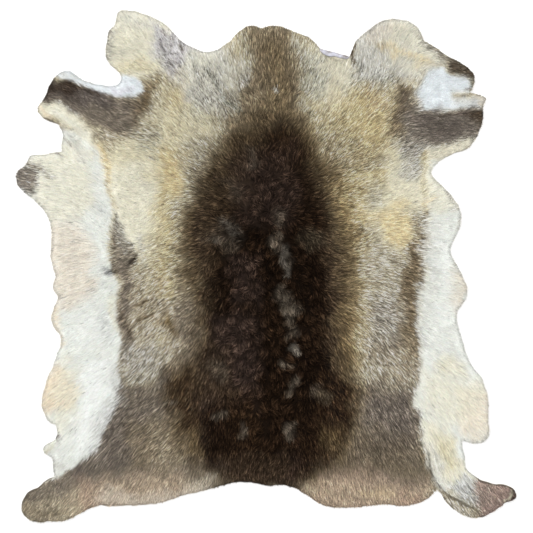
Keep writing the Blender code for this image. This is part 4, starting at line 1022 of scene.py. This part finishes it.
for index, zone in enumerate(ZONES):
    wisp = np.repeat(np.flatnonzero(number == index), STRANDS)
    strands = len(wisp)
    way = tips[wisp] - roots[wisp]
    length = np.linalg.norm(way, axis=1, keepdims=True)
    aside = np.column_stack([way[:, 1], -way[:, 0]]) / length
    start = roots[wisp] + rng.normal(0, 1, (strands, 2)) * ROOT_SPREAD
    end = roots[wisp] + way * rng.uniform(*HAIR_RUN, (strands, 1))
    end += rng.normal(0, 1, (strands, 2)) * TIP_SPREAD
    start_height = read_map(floor_map, start) + HAIR_START * read_map(depth_map, start)
    end_height = read_map(top_map, end) + rise[wisp] + rng.uniform(*TIP_RISE_MM, strands) * MM
    half = HAIR_WIDTH / 2 * rng.uniform(*WIDTH_SHARE, (strands, 1))
    lift = rng.normal(0, HAIR_TWIST, strands) * half[:, 0] * vary[wisp]
    points = np.stack([
        np.column_stack([start + aside * half, start_height + lift]),
        np.column_stack([end, end_height]),
        np.column_stack([start - aside * half, start_height - lift]),
    ], axis=1).reshape(-1, 3)
    material = tinted("hair, " + zone.name.replace("_", " "), zone.roughness, zone.gloss,
                      mottles=HAIR_MOTTLES, depth=0.1)
    hair = piece("coat_" + zone.name, points, np.arange(3 * strands).reshape(-1, 3), material)
    own_tone = (STREAK_WEIGHT * streaks((start + end) / 2, way / length, seed=34)
                + HAIR_WEIGHT * rng.normal(0, 1, strands))
    shade = (tone[wisp] * np.exp(own_tone * spread[wisp]))[:, None, None]
    hue = 1 + rng.normal(0, HUE_SPREAD, (strands, 1, 3))
    # Along each hair: darker at the root, partly painted shade down in the coat.
    along = np.array([ROOT_TONE_AND_SHADE, TIP_TONE, ROOT_TONE_AND_SHADE])[None, :, None] ** vary[wisp][:, None, None]
    # Tips darker near the cut, a painted shade, and paler on the saddle, a painted sheen.
    along[:, 1] *= (1 + (RIM_SHADE_TONE - 1) * rim[wisp][:, None]) * SADDLE_TIP_SHEEN ** fluff[wisp][:, None]
    set_tint(hair, np.clip(tint[wisp][:, None, :] * shade * along * hue, 0, LIGHTEST).reshape(-1, 3))
    cells = int(np.ceil(np.sqrt(strands)))
    cell = np.column_stack([np.arange(strands) % cells, np.arange(strands) // cells])[:, None, :]
    atlas = hair.data.uv_layers.new(name="OFBake")
    atlas.data.foreach_set("uv", ((cell + HAIR_CORNERS) / cells).astype(np.float32).ravel())
    hair.parent = skin

# The floor, the light and the camera ---------------------------------------------------------------------
# A plain white floor, one wide soft light overhead with a weaker one from the neck's left, and a camera
# straight above the hide.

FLOOR_SIDE = 8.0
FLOOR_GAP = 0.5 * MM            # how far it lies below the hide
FLOOR_WHITE = (0.93, 0.93, 0.93)
SURROUNDING_LIGHT = 0.45
PICTURE_WIDTH = 1.24722         # what the picture spans at the hide's height
PICTURE_MIDDLE = (-0.00072, -0.00015)
CAMERA_HEIGHT = 3.2
CAMERA_SENSOR = 36              # in millimetres, as its lens is
MEAN_COAT_HEIGHT = 0.015

corners = [(x * FLOOR_SIDE / 2, y * FLOOR_SIDE / 2, 0) for x, y in ((-1, -1), (1, -1), (1, 1), (-1, 1))]
floor_mesh = bpy.data.meshes.new("floor")
floor_mesh.from_pydata(corners, [], [(0, 1, 2, 3)])
floor = bpy.data.objects.new("floor", floor_mesh)
floor.location.z = -FLOOR_GAP
bpy.context.scene.collection.objects.link(floor)
white, *_, surface = new_material("white floor", roughness=0.9, gloss=0.1)
surface.inputs["Base Color"].default_value = (*FLOOR_WHITE, 1)
floor_mesh.materials.append(white)


def soft_light(name, place, side, watts):
    """A square area light that looks at the hide's middle."""
    light = bpy.data.lights.new(name, "AREA")
    light.shape = "SQUARE"
    light.size = side
    light.energy = watts
    lamp = bpy.data.objects.new(name, light)
    lamp.location = place
    lamp.rotation_euler = (-Vector(place)).to_track_quat("-Z", "Y").to_euler()
    bpy.context.scene.collection.objects.link(lamp)


soft_light("overhead", place=(0.0, 0.3, 4.5), side=4.0, watts=190)
soft_light("side", place=(-2.2, 2.4, 2.6), side=2.0, watts=60)

world = bpy.data.worlds.new("studio")
world.use_nodes = True
background = world.node_tree.nodes["Background"]
background.inputs["Color"].default_value = (1, 1, 1, 1)
background.inputs["Strength"].default_value = SURROUNDING_LIGHT
bpy.context.scene.world = world
bpy.context.scene.view_settings.view_transform = "Standard"

camera = bpy.data.objects.new("camera", bpy.data.cameras.new("camera"))
camera.location = (*PICTURE_MIDDLE, CAMERA_HEIGHT)
camera.data.sensor_width = CAMERA_SENSOR
camera.data.lens = CAMERA_SENSOR * (CAMERA_HEIGHT - MEAN_COAT_HEIGHT) / PICTURE_WIDTH
bpy.context.scene.collection.objects.link(camera)
bpy.context.scene.camera = camera
